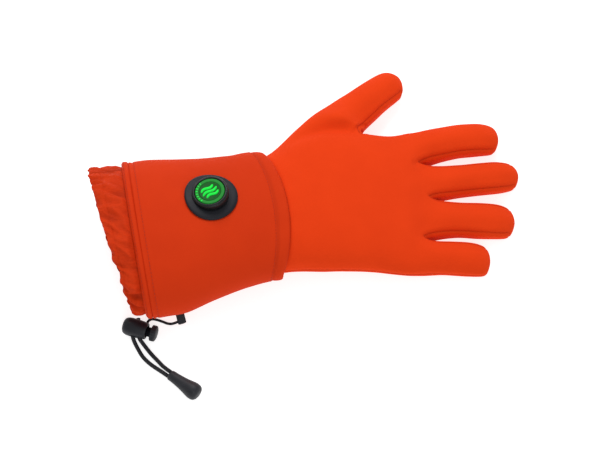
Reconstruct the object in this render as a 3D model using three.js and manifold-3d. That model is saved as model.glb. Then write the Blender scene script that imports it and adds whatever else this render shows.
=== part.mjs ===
import * as THREE from "three";
import Module from "manifold-3d";
import { mergeVertices } from "three/addons/utils/BufferGeometryUtils.js";

// A heated glove for the right hand, lying palm down. Lengths are in millimetres.
// +X runs from the cuff to the fingertips, +Y to the thumb, +Z up. The origin is under the middle
// of the palm, on the plane that the glove lies on.

// Cloth
const HAND_WALL = 1.5;
const CUFF_WALL = 3.5;
const HEM_WALL = 1;
const CASING_WALL = 2;
const SEAM_GAP = 0.3;
const SLEEVE_EASE = 0.8;
const SETTLE = 2.5;

// Hand
const PALM_LENGTH = 120;
const PALM_WIDTH = 120;
const PALM_HEIGHT = 41;
const FINGER_LENGTH = 72;
const FINGER_WIDTH = 28.4;
const FINGER_HEIGHT = 22.5;
const THUMB_LENGTH = 53;
const THUMB_WIDTH = 33;
const THUMB_HEIGHT = 28;

// Cuff
const CUFF_LENGTH = 94.5;
const CUFF_WIDTH = 126;
const CUFF_HEIGHT = 62;
const CUFF_PEAK = 12;
const CUFF_YAW = 10.5;
const CUFF_SIDES = 36;
const SLEEVE_OVERLAP = 13;

// Hem
const BINDING_LENGTH = 4;
const HEM_LENGTH = 16.5;
const CASING_LENGTH = 8;
const GATHER_DEPTH = 1.3;
const GATHERS = 16;
const SIDES_PER_GATHER = 4;

// Power button
const BUTTON_ALONG = 0.572;
const BUTTON_AROUND = 79;
const BUTTON_LEAN = 14;
const FLANGE_RADIUS = 20.2;
const FLANGE_THICKNESS = 2.2;
const CAP_RADIUS = 13.6;
const CAP_HEIGHT = 5;
const FACE_RADIUS = 11;
const FACE_RECESS = 1.3;
const BUTTON_SIDES = 32;

// Cords and their hardware
const DRAWCORD_DIAMETER = 3;
const RETAINING_DIAMETER = 2;
const CORD_SIDES = 8;
const CORD_BORE_CLEARANCE = 0.6;
const LOCK_LENGTH = 18.5;
const LOCK_RADIUS = 6.9;
const LOCK_HEADING = -17;
const PLUNGER_RADIUS = 6.1;
const PLUNGER_STROKE = 3;
const PLUNGER_CAP = 4;
const STEM_RADIUS = 3.6;
const STEM_DEPTH = 4.2;
const CORD_END_LENGTH = 27;
const CORD_END_RADIUS = 6.4;
const CORD_END_NECK = 3.9;
const TAB_WIDTH = 6;
const TAB_THICKNESS = 1.2;
const TAB_DROP = 11.5;
const CLEARANCE = 0.3;

const v3 = (x, y, z) => new THREE.Vector3(x, y, z);
const rad = THREE.MathUtils.degToRad;
const mix = THREE.MathUtils.lerp;

// A material for each finish
const finish = (color, roughness) => new THREE.MeshStandardMaterial({ color, roughness, metalness: 0 });
const ORANGE_FLEECE = finish(0xe54118, 0.9);
const ORANGE_PADDING = finish(0xcf3e18, 0.85);
const ORANGE_NYLON = finish(0xc43a1a, 0.6);
const BLACK_RUBBER = finish(0x2b2d31, 0.6);
const BLACK_PLASTIC = finish(0x1b1c1e, 0.4);
const GREEN_LENS = finish(0x1fae45, 0.35);
const BLACK_CORD = finish(0x202124, 0.85);

const glove = new THREE.Group();
glove.name = "heated_glove";

function addMesh(name, points, faces, material) {
  const geometry = new THREE.BufferGeometry();
  geometry.setAttribute("position", new THREE.Float32BufferAttribute(points.flatMap((p) => p.toArray()), 3));
  geometry.setIndex(faces.flat());
  geometry.computeVertexNormals();
  const mesh = new THREE.Mesh(geometry, material);
  mesh.name = name;
  glove.add(mesh);
  return mesh;
}

// Solids lofted through rings

// Joins rings of equally many points, in order, into one band, and back to the first if closed.
function band(rings, closed) {
  const sides = rings[0].length;
  const faces = [];
  const steps = closed ? rings.length : rings.length - 1;
  for (let i = 0; i < steps; i += 1) {
    const here = i * sides;
    const next = ((i + 1) % rings.length) * sides;
    for (let j = 0; j < sides; j += 1) {
      const k = (j + 1) % sides;
      faces.push([here + j, here + k, next + k], [here + j, next + k, next + j]);
    }
  }
  return { points: rings.flat(), faces };
}

// A tube wall: the rings go along the outside, round the rim, back along the inside.
function wallSolid(name, rings, material) {
  const { points, faces } = band(rings, true);
  return addMesh(name, points, faces, material);
}

// A solid lofted through rings and closed at both ends by a middle point.
function cappedLoft(rings) {
  const { points, faces } = band(rings, false);
  const sides = rings[0].length;
  const middle = (ring) => ring.reduce((sum, p) => sum.add(p), v3(0, 0, 0)).divideScalar(ring.length);
  const first = points.push(middle(rings[0])) - 1;
  const last = points.push(middle(rings.at(-1))) - 1;
  const top = (rings.length - 1) * sides;
  for (let j = 0; j < sides; j += 1) {
    const k = (j + 1) % sides;
    faces.push([first, k, j], [last, top + j, top + k]);
  }
  return { points, faces };
}

function cappedSolid(name, rings, material) {
  const { points, faces } = cappedLoft(rings);
  return addMesh(name, points, faces, material);
}

// The cuff: a tapered tube, its sections a table of shares

// offset is the middle's sideways place as a share of the width, and section widths and heights are
// shares of the mouth's.
const CUFF_SECTIONS = [
  { along: 0, offset: -0.325, width: 1, height: 1 },
  { along: 0.16, offset: -0.302, width: 0.985, height: 0.985 },
  { along: 0.35, offset: -0.27, width: 0.934, height: 0.955 },
  { along: 0.55, offset: -0.234, width: 0.88, height: 0.905 },
  { along: 0.76, offset: -0.187, width: 0.845, height: 0.845 },
  { along: 0.9, offset: -0.153, width: 0.84, height: 0.8 },
  { along: 1, offset: -0.143, width: 0.824, height: 0.775 },
];

function cuffSection(along) {
  const last = CUFF_SECTIONS.length - 2;
  const found = CUFF_SECTIONS.findIndex((row, i) => i <= last && along <= CUFF_SECTIONS[i + 1].along);
  const i = found < 0 ? last : found;
  const [a, b] = [CUFF_SECTIONS[i], CUFF_SECTIONS[i + 1]];
  const t = (along - a.along) / (b.along - a.along);
  return {
    x: -PALM_LENGTH / 2 + (along - 1) * CUFF_LENGTH,
    y: mix(a.offset, b.offset, t) * CUFF_WIDTH,
    half: (mix(a.width, b.width, t) * CUFF_WIDTH) / 2,
    height: mix(a.height, b.height, t) * CUFF_HEIGHT,
  };
}

// A place on the cuff. around is in degrees from the thumb's side over the top, and inset is how
// far it lies below the outer face.
function cuffPoint(along, around, inset = 0) {
  const { x, y, half, height } = cuffSection(along);
  const [c, s] = [Math.cos(rad(around)), Math.sin(rad(around))];
  const side = c * (half - inset);
  const rise = (height + SETTLE) / 2;
  const z = (height - SETTLE) / 2 + s * (rise - inset);
  const peak = CUFF_PEAK * Math.max(s, 0) ** 1.5 * THREE.MathUtils.smoothstep(along, 0.55, 1);
  const lean = -Math.sin(rad(CUFF_YAW)) * side + peak;
  return v3(x + lean, y + Math.cos(rad(CUFF_YAW)) * side, Math.max(z, inset));
}

const ring = (sides, place) => Array.from({ length: sides }, (_, j) => place((360 * j) / sides));

function buildCuff() {
  const alongs = CUFF_SECTIONS.map((row) => row.along);
  const outside = alongs.map((along) => ring(CUFF_SIDES, (turn) => cuffPoint(along, turn)));
  const inside = alongs.map((along) => ring(CUFF_SIDES, (turn) => cuffPoint(along, turn, CUFF_WALL)));
  const rim = (along, out) =>
    ring(CUFF_SIDES, (turn) => cuffPoint(along, turn, CUFF_WALL / 2).add(v3(out * CUFF_WALL * 0.35, 0, 0)));
  wallSolid("cuff", [...outside, rim(1, 1), ...inside.reverse(), rim(0, -1)], ORANGE_PADDING);
}

// The hem goes on from the cuff's mouth. beyond is the distance past the mouth.
const RIM = CUFF_WALL * 0.35;
const HEM_TUCK = 0.06;
const HEM_SLANT = 0.53;
const HEM_DROP = 4;

function hemPoint(beyond, around, inset) {
  const mouth = cuffPoint(0, around, inset);
  const share = beyond / (BINDING_LENGTH + HEM_LENGTH + CASING_LENGTH);
  const tuck = 1 - HEM_TUCK * share;
  const { y, height } = cuffSection(0);
  const shrink = (value, middle) => middle + (value - middle) * tuck;
  const littleSide = (1 - Math.cos(rad(around))) / 2;
  const reach = beyond * (1 - HEM_SLANT * littleSide ** 2 * share);
  const z = Math.max(shrink(mouth.z, height / 2), inset);
  return v3(mouth.x - RIM - reach, shrink(mouth.y, y - HEM_DROP * share), z);
}

const HEM_SIDES = GATHERS * SIDES_PER_GATHER;

// Gathers: each fold stands in and out by a depth that changes from fold to fold.
function gather(around, grow) {
  const uneven = 0.7 + 0.3 * Math.cos(rad(3 * around + 40));
  return -GATHER_DEPTH * grow * uneven * (1 + Math.cos(rad(GATHERS * around)));
}

// A thin wall round the opening, from one distance past the mouth to another.
function hemWall(name, sides, rows, wall, material) {
  const place = (row, deep) => (turn) =>
    hemPoint(row.beyond, turn, row.inset + deep * wall - gather(turn, row.gathered));
  const outside = rows.map((row) => ring(sides, place(row, 0)));
  const inside = rows.map((row) => ring(sides, place(row, 1)));
  wallSolid(name, [...inside, ...outside.reverse()], material);
}

function buildHem() {
  const ruffleStart = BINDING_LENGTH + 2 * CLEARANCE;
  const ruffleEnd = ruffleStart + HEM_LENGTH;
  const casingStart = ruffleEnd + CLEARANCE;
  hemWall("cuff_binding", CUFF_SIDES, [
    { beyond: CLEARANCE, inset: 0.4, gathered: 0 },
    { beyond: (CLEARANCE + ruffleStart) / 2, inset: 0, gathered: 0 },
    { beyond: BINDING_LENGTH + CLEARANCE, inset: 0.4, gathered: 0 },
  ], CASING_WALL, ORANGE_PADDING);
  hemWall("hem_ruffle", HEM_SIDES, [
    { beyond: ruffleStart, inset: 2, gathered: 0.3 },
    { beyond: mix(ruffleStart, ruffleEnd, 0.3), inset: 0, gathered: 1 },
    { beyond: mix(ruffleStart, ruffleEnd, 0.7), inset: 0, gathered: 1 },
    { beyond: ruffleEnd, inset: 1.2, gathered: 0.6 },
  ], HEM_WALL, ORANGE_NYLON);
  hemWall("drawcord_casing", HEM_SIDES, [
    { beyond: casingStart, inset: 0.8, gathered: 0.6 },
    { beyond: casingStart + CASING_LENGTH * 0.6, inset: 0.4, gathered: 0.8 },
    { beyond: casingStart + CASING_LENGTH, inset: 1.4, gathered: 1 },
  ], CASING_WALL, ORANGE_NYLON);
}

// The hand: one smooth cage of four-sided faces, cut into sewn panels

const FOURCHETTES = ["fourchette_index_middle", "fourchette_middle_ring", "fourchette_ring_little"];
const STRIPS = [...FOURCHETTES, "thumb_gusset"];

// Each cage point is named, and target is where the smooth surface passes.
const cage = { names: new Map(), targets: [], faces: [] };

function cagePoint(name, target) {
  cage.names.set(name, cage.targets.push(target) - 1);
}

const cageIndex = (name) => {
  if (!cage.names.has(name)) throw new Error(`no cage point ${name}`);
  return cage.names.get(name);
};

function cageFace(panel, names) {
  cage.faces.push({ panel, loop: names.map(cageIndex) });
}

// Columns round the palm, from the thumb's side over the back and under the palm. knuckle is the
// column's place across the finger roots, from 0 on the index side to 1 on the little side.
const BACK_COLUMNS = [
  { column: 1, knuckle: 0.035 },
  { column: 2, knuckle: 0.118 },
  { column: 3, knuckle: 0.248 },
  { column: 4, knuckle: 0.376 },
  { column: 5, knuckle: 0.492 },
  { column: 6, knuckle: 0.63 },
  { column: 7, knuckle: 0.766 },
  { column: 8, knuckle: 0.888 },
  { column: 9, knuckle: 0.972 },
];
const COLUMNS = 2 * BACK_COLUMNS.length + 2;
const LITTLE_SIDE = COLUMNS / 2;

// Rows along the palm: thumb_edge and little_edge are shares of the width from the middle line,
// crown of the height, lean and bow of the length, and spread goes from even columns to fingers.
const PALM_ROWS = [
  { row: "heel", along: 0.145, thumb_edge: 0.39, little_edge: -0.512, crown: 1, lean: -0.05, bow: 0.11, spread: 0.15 },
  { row: "thenar", along: 0.36, thumb_edge: 0.46, little_edge: -0.512, crown: 1, lean: -0.01, bow: 0.05, spread: 0.4 },
  { row: "crotch", along: 0.582, thumb_edge: 0.443, little_edge: -0.512, crown: 0.94, lean: 0, bow: 0, spread: 0.7 },
  { row: "hollow", along: 0.735, thumb_edge: 0.425, little_edge: -0.518, crown: 0.84, lean: 0, bow: 0, spread: 0.9 },
  { row: "knuckle", along: 0.86, thumb_edge: 0.456, little_edge: -0.522, crown: 0.72, lean: 0, bow: 0.02, spread: 1 },
];

// A rounded section: how high the face stands at a share u across, from -1 to 1.
const SECTION_POWER = 2.3;
const profile = (u) => Math.max(1 - Math.abs(u) ** SECTION_POWER, 0) ** (1 / SECTION_POWER);

function palmPoint(row, column) {
  const over = column <= LITTLE_SIDE;
  const step = over ? column : COLUMNS - column;
  const even = (1 - Math.cos(rad((180 * step) / LITTLE_SIDE))) / 2;
  const knuckle = step === 0 ? 0 : step === LITTLE_SIDE ? 1 : BACK_COLUMNS[step - 1].knuckle;
  const share = mix(even, knuckle, row.spread);
  const u = 1 - 2 * share;
  const y = mix(row.thumb_edge, row.little_edge, share) * PALM_WIDTH;
  const top = row.crown * PALM_HEIGHT;
  const stand = profile(u) * (over ? 1 : -1);
  const z = (top - SETTLE) / 2 + (stand * (top + SETTLE)) / 2;
  const bow = over ? row.bow * profile(u) : 0;
  const x = (row.along - 0.5 + row.lean * u + bow) * PALM_LENGTH;
  return v3(x, y, z);
}

// Two rows of the hand sleeve lie inside the cuff, and follow its inner face.
const SLEEVE_ROWS = [
  { row: "sleeve_end", along: 1 - SLEEVE_OVERLAP / CUFF_LENGTH },
  { row: "sleeve_mouth", along: 1.012 },
];

function sleevePoint(row, column) {
  return cuffPoint(row.along, (360 * column) / COLUMNS, CUFF_WALL + SLEEVE_EASE);
}

// Fingers, from the index to the little one. root_x and root_y are shares of the palm's length and
// width from the origin, turn is the finger's heading in degrees, bend the further turn at its tip,
// and reach and girth are shares of the middle finger's length and of a finger's width.
const FINGERS = [
  { finger: "index", root_x: 0.485, root_y: 0.364, turn: 20, bend: -22, reach: 0.825, girth: 0.97 },
  { finger: "middle", root_x: 0.5, root_y: 0.105, turn: 8, bend: 0, reach: 0.985, girth: 0.93 },
  { finger: "ring", root_x: 0.5, root_y: -0.14, turn: 1, bend: -4, reach: 0.905, girth: 1.01 },
  { finger: "little", root_x: 0.48, root_y: -0.398, turn: -2, bend: 0, reach: 0.665, girth: 0.95 },
];

// Rings along a finger: along is a share of its length, wide and high of its width and height.
const FINGER_RINGS = [
  { along: 0.26, wide: 0.95, high: 0.98 },
  { along: 0.52, wide: 0.95, high: 0.92 },
  { along: 0.77, wide: 0.93, high: 0.83 },
  { along: 0.93, wide: 0.74, high: 0.66 },
];
const TIP_SHARE = 0.38;

// Where two fingers part: x as a share of the palm's length, y of its width.
const CROTCHES = [
  { x: 0.462, y: 0.228 },
  { x: 0.522, y: -0.012 },
  { x: 0.482, y: -0.288 },
];
const CROTCH_SET_BACK = 3;
const CROTCH_RISE = 0.93;

// Ring angles, in degrees from the side nearest the thumb, over the back.
const RING_ANGLES = [0, 32, 90, 148, 180, 220, 270, 320];

function ovalPoint(middle, turn, half, high, angle, low = 0) {
  const [c, s] = [Math.cos(rad(angle)), Math.sin(rad(angle))];
  const across = v3(-Math.sin(rad(turn)), Math.cos(rad(turn)), 0);
  const squarer = (value) => Math.sign(value) * Math.abs(value) ** 0.92;
  const z = low + (high - SETTLE / 2) / 2 + (squarer(s) * (high + SETTLE / 2)) / 2;
  return middle.clone().addScaledVector(across, squarer(c) * half).setZ(z);
}

// A finger's middle line turns evenly from its root to its tip.
function fingerMiddle(finger, along) {
  const length = finger.reach * FINGER_LENGTH;
  const middle = v3(finger.root_x * PALM_LENGTH, finger.root_y * PALM_WIDTH, 0);
  const steps = 8;
  for (let i = 0; i < steps; i += 1) {
    const turn = rad(finger.turn + (finger.bend * along * (i + 0.5)) / steps);
    middle.add(v3(Math.cos(turn), Math.sin(turn), 0).multiplyScalar((length * along) / steps));
  }
  return { middle, turn: finger.turn + finger.bend * along };
}

const ringName = (name, k, j) => `${name}_${k}_${j}`;

function buildPalmCage() {
  for (const row of SLEEVE_ROWS) {
    for (let column = 0; column < COLUMNS; column += 1) cagePoint(`${row.row}_${column}`, sleevePoint(row, column));
  }
  for (const row of PALM_ROWS) {
    for (let column = 0; column < COLUMNS; column += 1) {
      if (row.row === "thenar" && column === 0) continue;
      cagePoint(`${row.row}_${column}`, palmPoint(row, column));
    }
  }
  const rows = [...SLEEVE_ROWS, ...PALM_ROWS].map((row) => row.row);
  for (let i = 0; i + 1 < rows.length; i += 1) {
    for (let column = 0; column < COLUMNS; column += 1) {
      const next = (column + 1) % COLUMNS;
      const atThumb = rows[i] === "heel" || rows[i] === "thenar";
      if (atThumb && (column === 0 || next === 0)) continue;
      const side = column < LITTLE_SIDE ? "back_panel" : "palm_panel";
      const panel = rows[i] === "sleeve_end" ? "wrist_sleeve" : side;
      const [a, b] = [rows[i], rows[i + 1]];
      cageFace(panel, [`${a}_${column}`, `${a}_${next}`, `${b}_${next}`, `${b}_${column}`]);
    }
  }
}

// The last row of the palm is the finger roots. Neighbouring fingers share its crotch columns.
function rootPoint(column) {
  const over = column <= LITTLE_SIDE;
  const step = over ? column : COLUMNS - column;
  const f = Math.min(Math.floor((step - 1) / 2), FINGERS.length - 1);
  if (step % 2 === 1 && step > 1 && step < LITTLE_SIDE - 1) {
    const crotch = CROTCHES[(step - 3) / 2];
    const x = crotch.x * PALM_LENGTH - CROTCH_SET_BACK;
    return v3(x, crotch.y * PALM_WIDTH, FINGER_HEIGHT * (over ? CROTCH_RISE : 1 - CROTCH_RISE));
  }
  const finger = FINGERS[Math.max(f, 0)];
  const angle = step === 0 ? 0 : step === LITTLE_SIDE ? 180 : RING_ANGLES[step % 2 === 0 ? 2 : step === 1 ? 1 : 3];
  const { middle, turn } = fingerMiddle(finger, 0);
  const half = (finger.girth * FINGER_WIDTH) / 2;
  return ovalPoint(middle, turn, half, FINGER_HEIGHT * 1.04, over ? angle : -angle);
}

const rootName = (column) => `root_${(column + COLUMNS) % COLUMNS}`;
const webName = (f) => `web_${f}`;

// The eight points where finger f leaves the palm.
function fingerRoot(f) {
  const near = f === 0 ? rootName(0) : webName(f - 1);
  const far = f === FINGERS.length - 1 ? rootName(LITTLE_SIDE) : webName(f);
  const back = [1, 2, 3].map((k) => rootName(2 * f + k));
  const under = [3, 2, 1].map((k) => rootName(-(2 * f + k)));
  return [near, ...back, far, ...under];
}

// Which sewn panel holds the face between ring point j and the next.
function fingerPanel(f, j) {
  const nearSide = j === 7 || j === 0;
  const farSide = j === 3 || j === 4;
  if (nearSide && f > 0) return FOURCHETTES[f - 1];
  if (farSide && f < FINGERS.length - 1) return FOURCHETTES[f];
  return j < 4 ? "back_panel" : "palm_panel";
}

// Faces between rings, and four faces that close the last ring at the tip.
function tubeFaces(rings, tip, panelOf, tipPanels) {
  for (let k = 0; k + 1 < rings.length; k += 1) {
    rings[k].forEach((name, j) => {
      const next = (j + 1) % rings[k].length;
      cageFace(panelOf(j), [name, rings[k][next], rings[k + 1][next], rings[k + 1][j]]);
    });
  }
  const last = rings.at(-1);
  tipPanels.forEach((panel, q) => {
    const j = 2 * q;
    cageFace(panel, [last[j], last[j + 1], last[(j + 2) % last.length], tip]);
  });
}

function buildFingerCage() {
  for (let column = 0; column < COLUMNS; column += 1) cagePoint(rootName(column), rootPoint(column));
  CROTCHES.forEach((crotch, f) => {
    cagePoint(webName(f), v3(crotch.x * PALM_LENGTH, crotch.y * PALM_WIDTH, FINGER_HEIGHT * 0.5));
  });
  for (let column = 0; column < COLUMNS; column += 1) {
    const next = column + 1;
    const panel = column < LITTLE_SIDE ? "back_panel" : "palm_panel";
    const knuckle = (c) => `knuckle_${c % COLUMNS}`;
    cageFace(panel, [knuckle(column), knuckle(next), rootName(next), rootName(column)]);
  }
  FINGERS.forEach((finger, f) => {
    const half = (finger.girth * FINGER_WIDTH) / 2;
    const rings = FINGER_RINGS.map((row, k) => {
      const { middle, turn } = fingerMiddle(finger, row.along);
      return RING_ANGLES.map((angle, j) => {
        const name = ringName(finger.finger, k, j);
        cagePoint(name, ovalPoint(middle, turn, half * row.wide, FINGER_HEIGHT * row.high, angle));
        return name;
      });
    });
    const tip = `${finger.finger}_tip`;
    cagePoint(tip, fingerMiddle(finger, 1).middle.setZ(FINGER_HEIGHT * TIP_SHARE));
    const tipPanels = ["back_panel", "back_panel", "palm_panel", "palm_panel"];
    tubeFaces([fingerRoot(f), ...rings], tip, (j) => fingerPanel(f, j), tipPanels);
  });
}

// The thumb leaves the palm's side. along and aside are shares of its length from THUMB_START,
// turn is added to its heading, and wide and high are shares of its width and height.
const THUMB_HEADING = 42.5;
const THUMB_START = { x: 0.018, y: 0.6 };
const THUMB_RINGS = [
  { along: -0.297, aside: 0, turn: 31, wide: 1.3, high: 1.2 },
  { along: 0, aside: 0, turn: 2, wide: 1.03, high: 1 },
  { along: 0.3, aside: 0, turn: 0, wide: 0.94, high: 0.93 },
  { along: 0.58, aside: 0, turn: -2, wide: 0.87, high: 0.84 },
  { along: 0.84, aside: -0.01, turn: -4, wide: 0.75, high: 0.7 },
];

function buildThumbCage() {
  const rings = THUMB_RINGS.map((row, k) => {
    const turn = THUMB_HEADING + row.turn;
    const ahead = rad(THUMB_HEADING);
    const middle = v3(THUMB_START.x * PALM_LENGTH, THUMB_START.y * PALM_WIDTH, 0);
    middle.add(v3(Math.cos(ahead), Math.sin(ahead), 0).multiplyScalar(row.along * THUMB_LENGTH));
    middle.add(v3(-Math.sin(ahead), Math.cos(ahead), 0).multiplyScalar(row.aside * THUMB_LENGTH));
    return RING_ANGLES.map((angle, j) => {
      const name = ringName("thumb", k, j);
      cagePoint(name, ovalPoint(middle, turn, (THUMB_WIDTH / 2) * row.wide, THUMB_HEIGHT * row.high, angle));
      return name;
    });
  });
  const ahead = rad(THUMB_HEADING);
  const tip = v3(THUMB_START.x * PALM_LENGTH, THUMB_START.y * PALM_WIDTH, THUMB_HEIGHT * TIP_SHARE * 0.9);
  tip.add(v3(Math.cos(ahead), Math.sin(ahead), 0).multiplyScalar(THUMB_LENGTH));
  cagePoint("thumb_tip", tip);
  const under = COLUMNS - 1;
  const hole = ["heel_0", "heel_1", "thenar_1", "crotch_1", "crotch_0", `crotch_${under}`, `thenar_${under}`, `heel_${under}`];
  const panelOf = (j) => (j < 3 ? "thumb_back" : j < 5 ? "thumb_gusset" : "thumb_palm");
  const tipPanels = ["thumb_back", "thumb_back", "thumb_palm", "thumb_palm"];
  tubeFaces([hole, ...rings], "thumb_tip", panelOf, tipPanels);
}

// Smooth subdivision of the cage

function neighbours(count, faces) {
  const around = Array.from({ length: count }, () => ({ edges: new Set(), faces: [], rim: new Set() }));
  const edges = new Map();
  faces.forEach((face, f) => {
    face.loop.forEach((a, i) => {
      const b = face.loop[(i + 1) % 4];
      const key = a < b ? `${a}_${b}` : `${b}_${a}`;
      if (!edges.has(key)) edges.set(key, { ends: [a, b], faces: [] });
      edges.get(key).faces.push(f);
      around[a].edges.add(b);
      around[b].edges.add(a);
      around[a].faces.push(f);
    });
  });
  for (const edge of edges.values()) {
    if (edge.faces.length > 1) continue;
    around[edge.ends[0]].rim.add(edge.ends[1]);
    around[edge.ends[1]].rim.add(edge.ends[0]);
  }
  return { around, edges };
}

const average = (points) => points.reduce((sum, p) => sum.add(p), v3(0, 0, 0)).divideScalar(points.length);

// Where each point settles when the surface is subdivided for ever.
function limitPoints(points, faces, links) {
  return points.map((point, i) => {
    const { edges, faces: mine, rim } = links.around[i];
    if (rim.size > 0) return average([...rim].map((k) => points[k])).multiplyScalar(1 / 3).addScaledVector(point, 2 / 3);
    const n = edges.size;
    const sum = point.clone().multiplyScalar(n * n);
    for (const k of edges) sum.addScaledVector(points[k], 4);
    for (const f of mine) {
      const loop = faces[f].loop;
      sum.add(points[loop[(loop.indexOf(i) + 2) % 4]]);
    }
    return sum.divideScalar(n * (n + 5));
  });
}

// Moves the cage until its smooth surface passes through the targets.
function fitCage(targets, faces, links) {
  const rounds = 12;
  let points = targets.map((p) => p.clone());
  for (let i = 0; i < rounds; i += 1) {
    const limit = limitPoints(points, faces, links);
    points = points.map((p, k) => p.clone().add(targets[k]).sub(limit[k]));
  }
  return points;
}

function subdivide(points, faces, links) {
  const { around, edges } = links;
  const facePoints = faces.map((face) => average(face.loop.map((k) => points[k])));
  const moved = points.map((point, i) => {
    const { edges: ends, faces: mine, rim } = around[i];
    if (rim.size > 0) return average([...rim].map((k) => points[k])).multiplyScalar(0.25).addScaledVector(point, 0.75);
    const n = ends.size;
    const faceMean = average(mine.map((f) => facePoints[f]));
    const edgeMean = average([...ends].map((k) => points[k].clone().add(point).multiplyScalar(0.5)));
    return point.clone().multiplyScalar(n - 3).add(faceMean).addScaledVector(edgeMean, 2).divideScalar(n);
  });
  const all = [...moved];
  const faceIndex = facePoints.map((p) => all.push(p) - 1);
  const edgeIndex = new Map();
  for (const [key, edge] of edges) {
    const ends = edge.ends.map((k) => points[k]);
    const corners = edge.faces.length > 1 ? [...ends, ...edge.faces.map((f) => facePoints[f])] : ends;
    edgeIndex.set(key, all.push(average(corners)) - 1);
  }
  const middleOf = (a, b) => edgeIndex.get(a < b ? `${a}_${b}` : `${b}_${a}`);
  const finer = faces.flatMap((face, f) =>
    face.loop.map((a, i) => {
      const after = middleOf(a, face.loop[(i + 1) % 4]);
      const before = middleOf(face.loop[(i + 3) % 4], a);
      return { panel: face.panel, loop: [a, after, faceIndex[f], before] };
    }));
  return { points: all, faces: finer, middleOf };
}

function pointNormals(points, faces) {
  const normals = points.map(() => v3(0, 0, 0));
  for (const { loop } of faces) {
    const [a, b, c, d] = loop.map((k) => points[k]);
    const normal = c.clone().sub(a).cross(d.clone().sub(b));
    for (const k of loop) normals[k].add(normal);
  }
  return normals.map((n) => n.normalize());
}

// How each panel is drawn in at its seams: towards its own middle, but beside a strip of two
// columns straight away from that strip. Where the seam turns sharply, as at a crotch, the corner
// moves further, so that both sides of it keep the gap.
const SHARPEST_CORNER = 0.16;

function seamPulls(points, faces) {
  const pulls = new Map();
  const edgePanels = new Map();
  for (const { panel, loop } of faces) {
    const centre = average(loop.map((k) => points[k]));
    loop.forEach((k, i) => {
      if (!pulls.has(k)) pulls.set(k, new Map());
      const mine = pulls.get(k);
      if (!mine.has(panel)) mine.set(panel, v3(0, 0, 0));
      mine.get(panel).add(centre.clone().sub(points[k]));
      const next = loop[(i + 1) % 4];
      const key = [Math.min(k, next), Math.max(k, next)].join("_");
      edgePanels.set(key, new Set([...(edgePanels.get(key) ?? []), panel]));
    });
  }
  const ends = new Map();
  for (const [key, panels] of edgePanels) {
    if (panels.size < 2) continue;
    const [a, b] = key.split("_").map(Number);
    ends.set(a, [...(ends.get(a) ?? []), b]);
    ends.set(b, [...(ends.get(b) ?? []), a]);
  }
  for (const [k, mine] of pulls) {
    for (const pull of mine.values()) pull.normalize();
    const strip = [...mine.keys()].find((panel) => STRIPS.includes(panel));
    if (!strip || mine.size !== 2 || ends.get(k).length !== 2) continue;
    const pull = mine.get(strip);
    const [e1, e2] = ends.get(k).map((other) => points[other].clone().sub(points[k]).normalize());
    const half = e1.angleTo(e2) / 2;
    const seam = e1.clone().sub(e2).normalize();
    const between = e1.add(e2);
    if (half < rad(70)) pull.copy(between.multiplyScalar(Math.sign(between.dot(pull))));
    pull.addScaledVector(seam, -pull.dot(seam)).normalize();
    pull.divideScalar(Math.max(Math.sin(half), SHARPEST_CORNER));
    for (const [panel, other] of mine) if (panel !== strip) other.copy(pull).negate();
  }
  return (panel, k) => (pulls.get(k).size > 1 ? pulls.get(k).get(panel).clone() : v3(0, 0, 0));
}

// Which cage faces keep small faces on the inside too: the strips, and every face across which the
// surface turns inwards sharply, as at a crotch, because a large face would cut the corner there.
const SHARP_HOLLOW = 0.3;

function fineInside(points, normals) {
  return cage.faces.map(({ panel, loop }) =>
    STRIPS.includes(panel) || loop.some((a, i) => {
      const b = loop[(i + 1) % 4];
      const step = points[b].clone().sub(points[a]).normalize();
      return normals[b].clone().sub(normals[a]).dot(step) < -SHARP_HOLLOW;
    }));
}

// The inner face of one panel. A large face takes a middle point on each edge that lies at a seam
// or beside small faces.
function innerLoops(name, fine, small) {
  const edges = new Map();
  cage.faces.forEach(({ panel, loop }, f) => {
    if (panel !== name) return;
    loop.forEach((a, i) => {
      const b = loop[(i + 1) % 4];
      const key = [Math.min(a, b), Math.max(a, b)].join("_");
      edges.set(key, [...(edges.get(key) ?? []), f]);
    });
  });
  const loops = [];
  cage.faces.forEach(({ panel, loop }, f) => {
    if (panel !== name) return;
    if (small[f]) {
      for (let q = 0; q < 4; q += 1) loops.push(fine.faces[4 * f + q].loop);
      return;
    }
    const full = loop.flatMap((a, i) => {
      const b = loop[(i + 1) % 4];
      const both = edges.get([Math.min(a, b), Math.max(a, b)].join("_"));
      return both.length < 2 || both.some((k) => small[k]) ? [a, fine.middleOf(a, b)] : [a];
    });
    const start = Math.max(full.findIndex((k) => !loop.includes(k)), 0);
    loops.push(full.map((_, i) => full[(start + i) % full.length]));
  });
  return loops;
}

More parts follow.
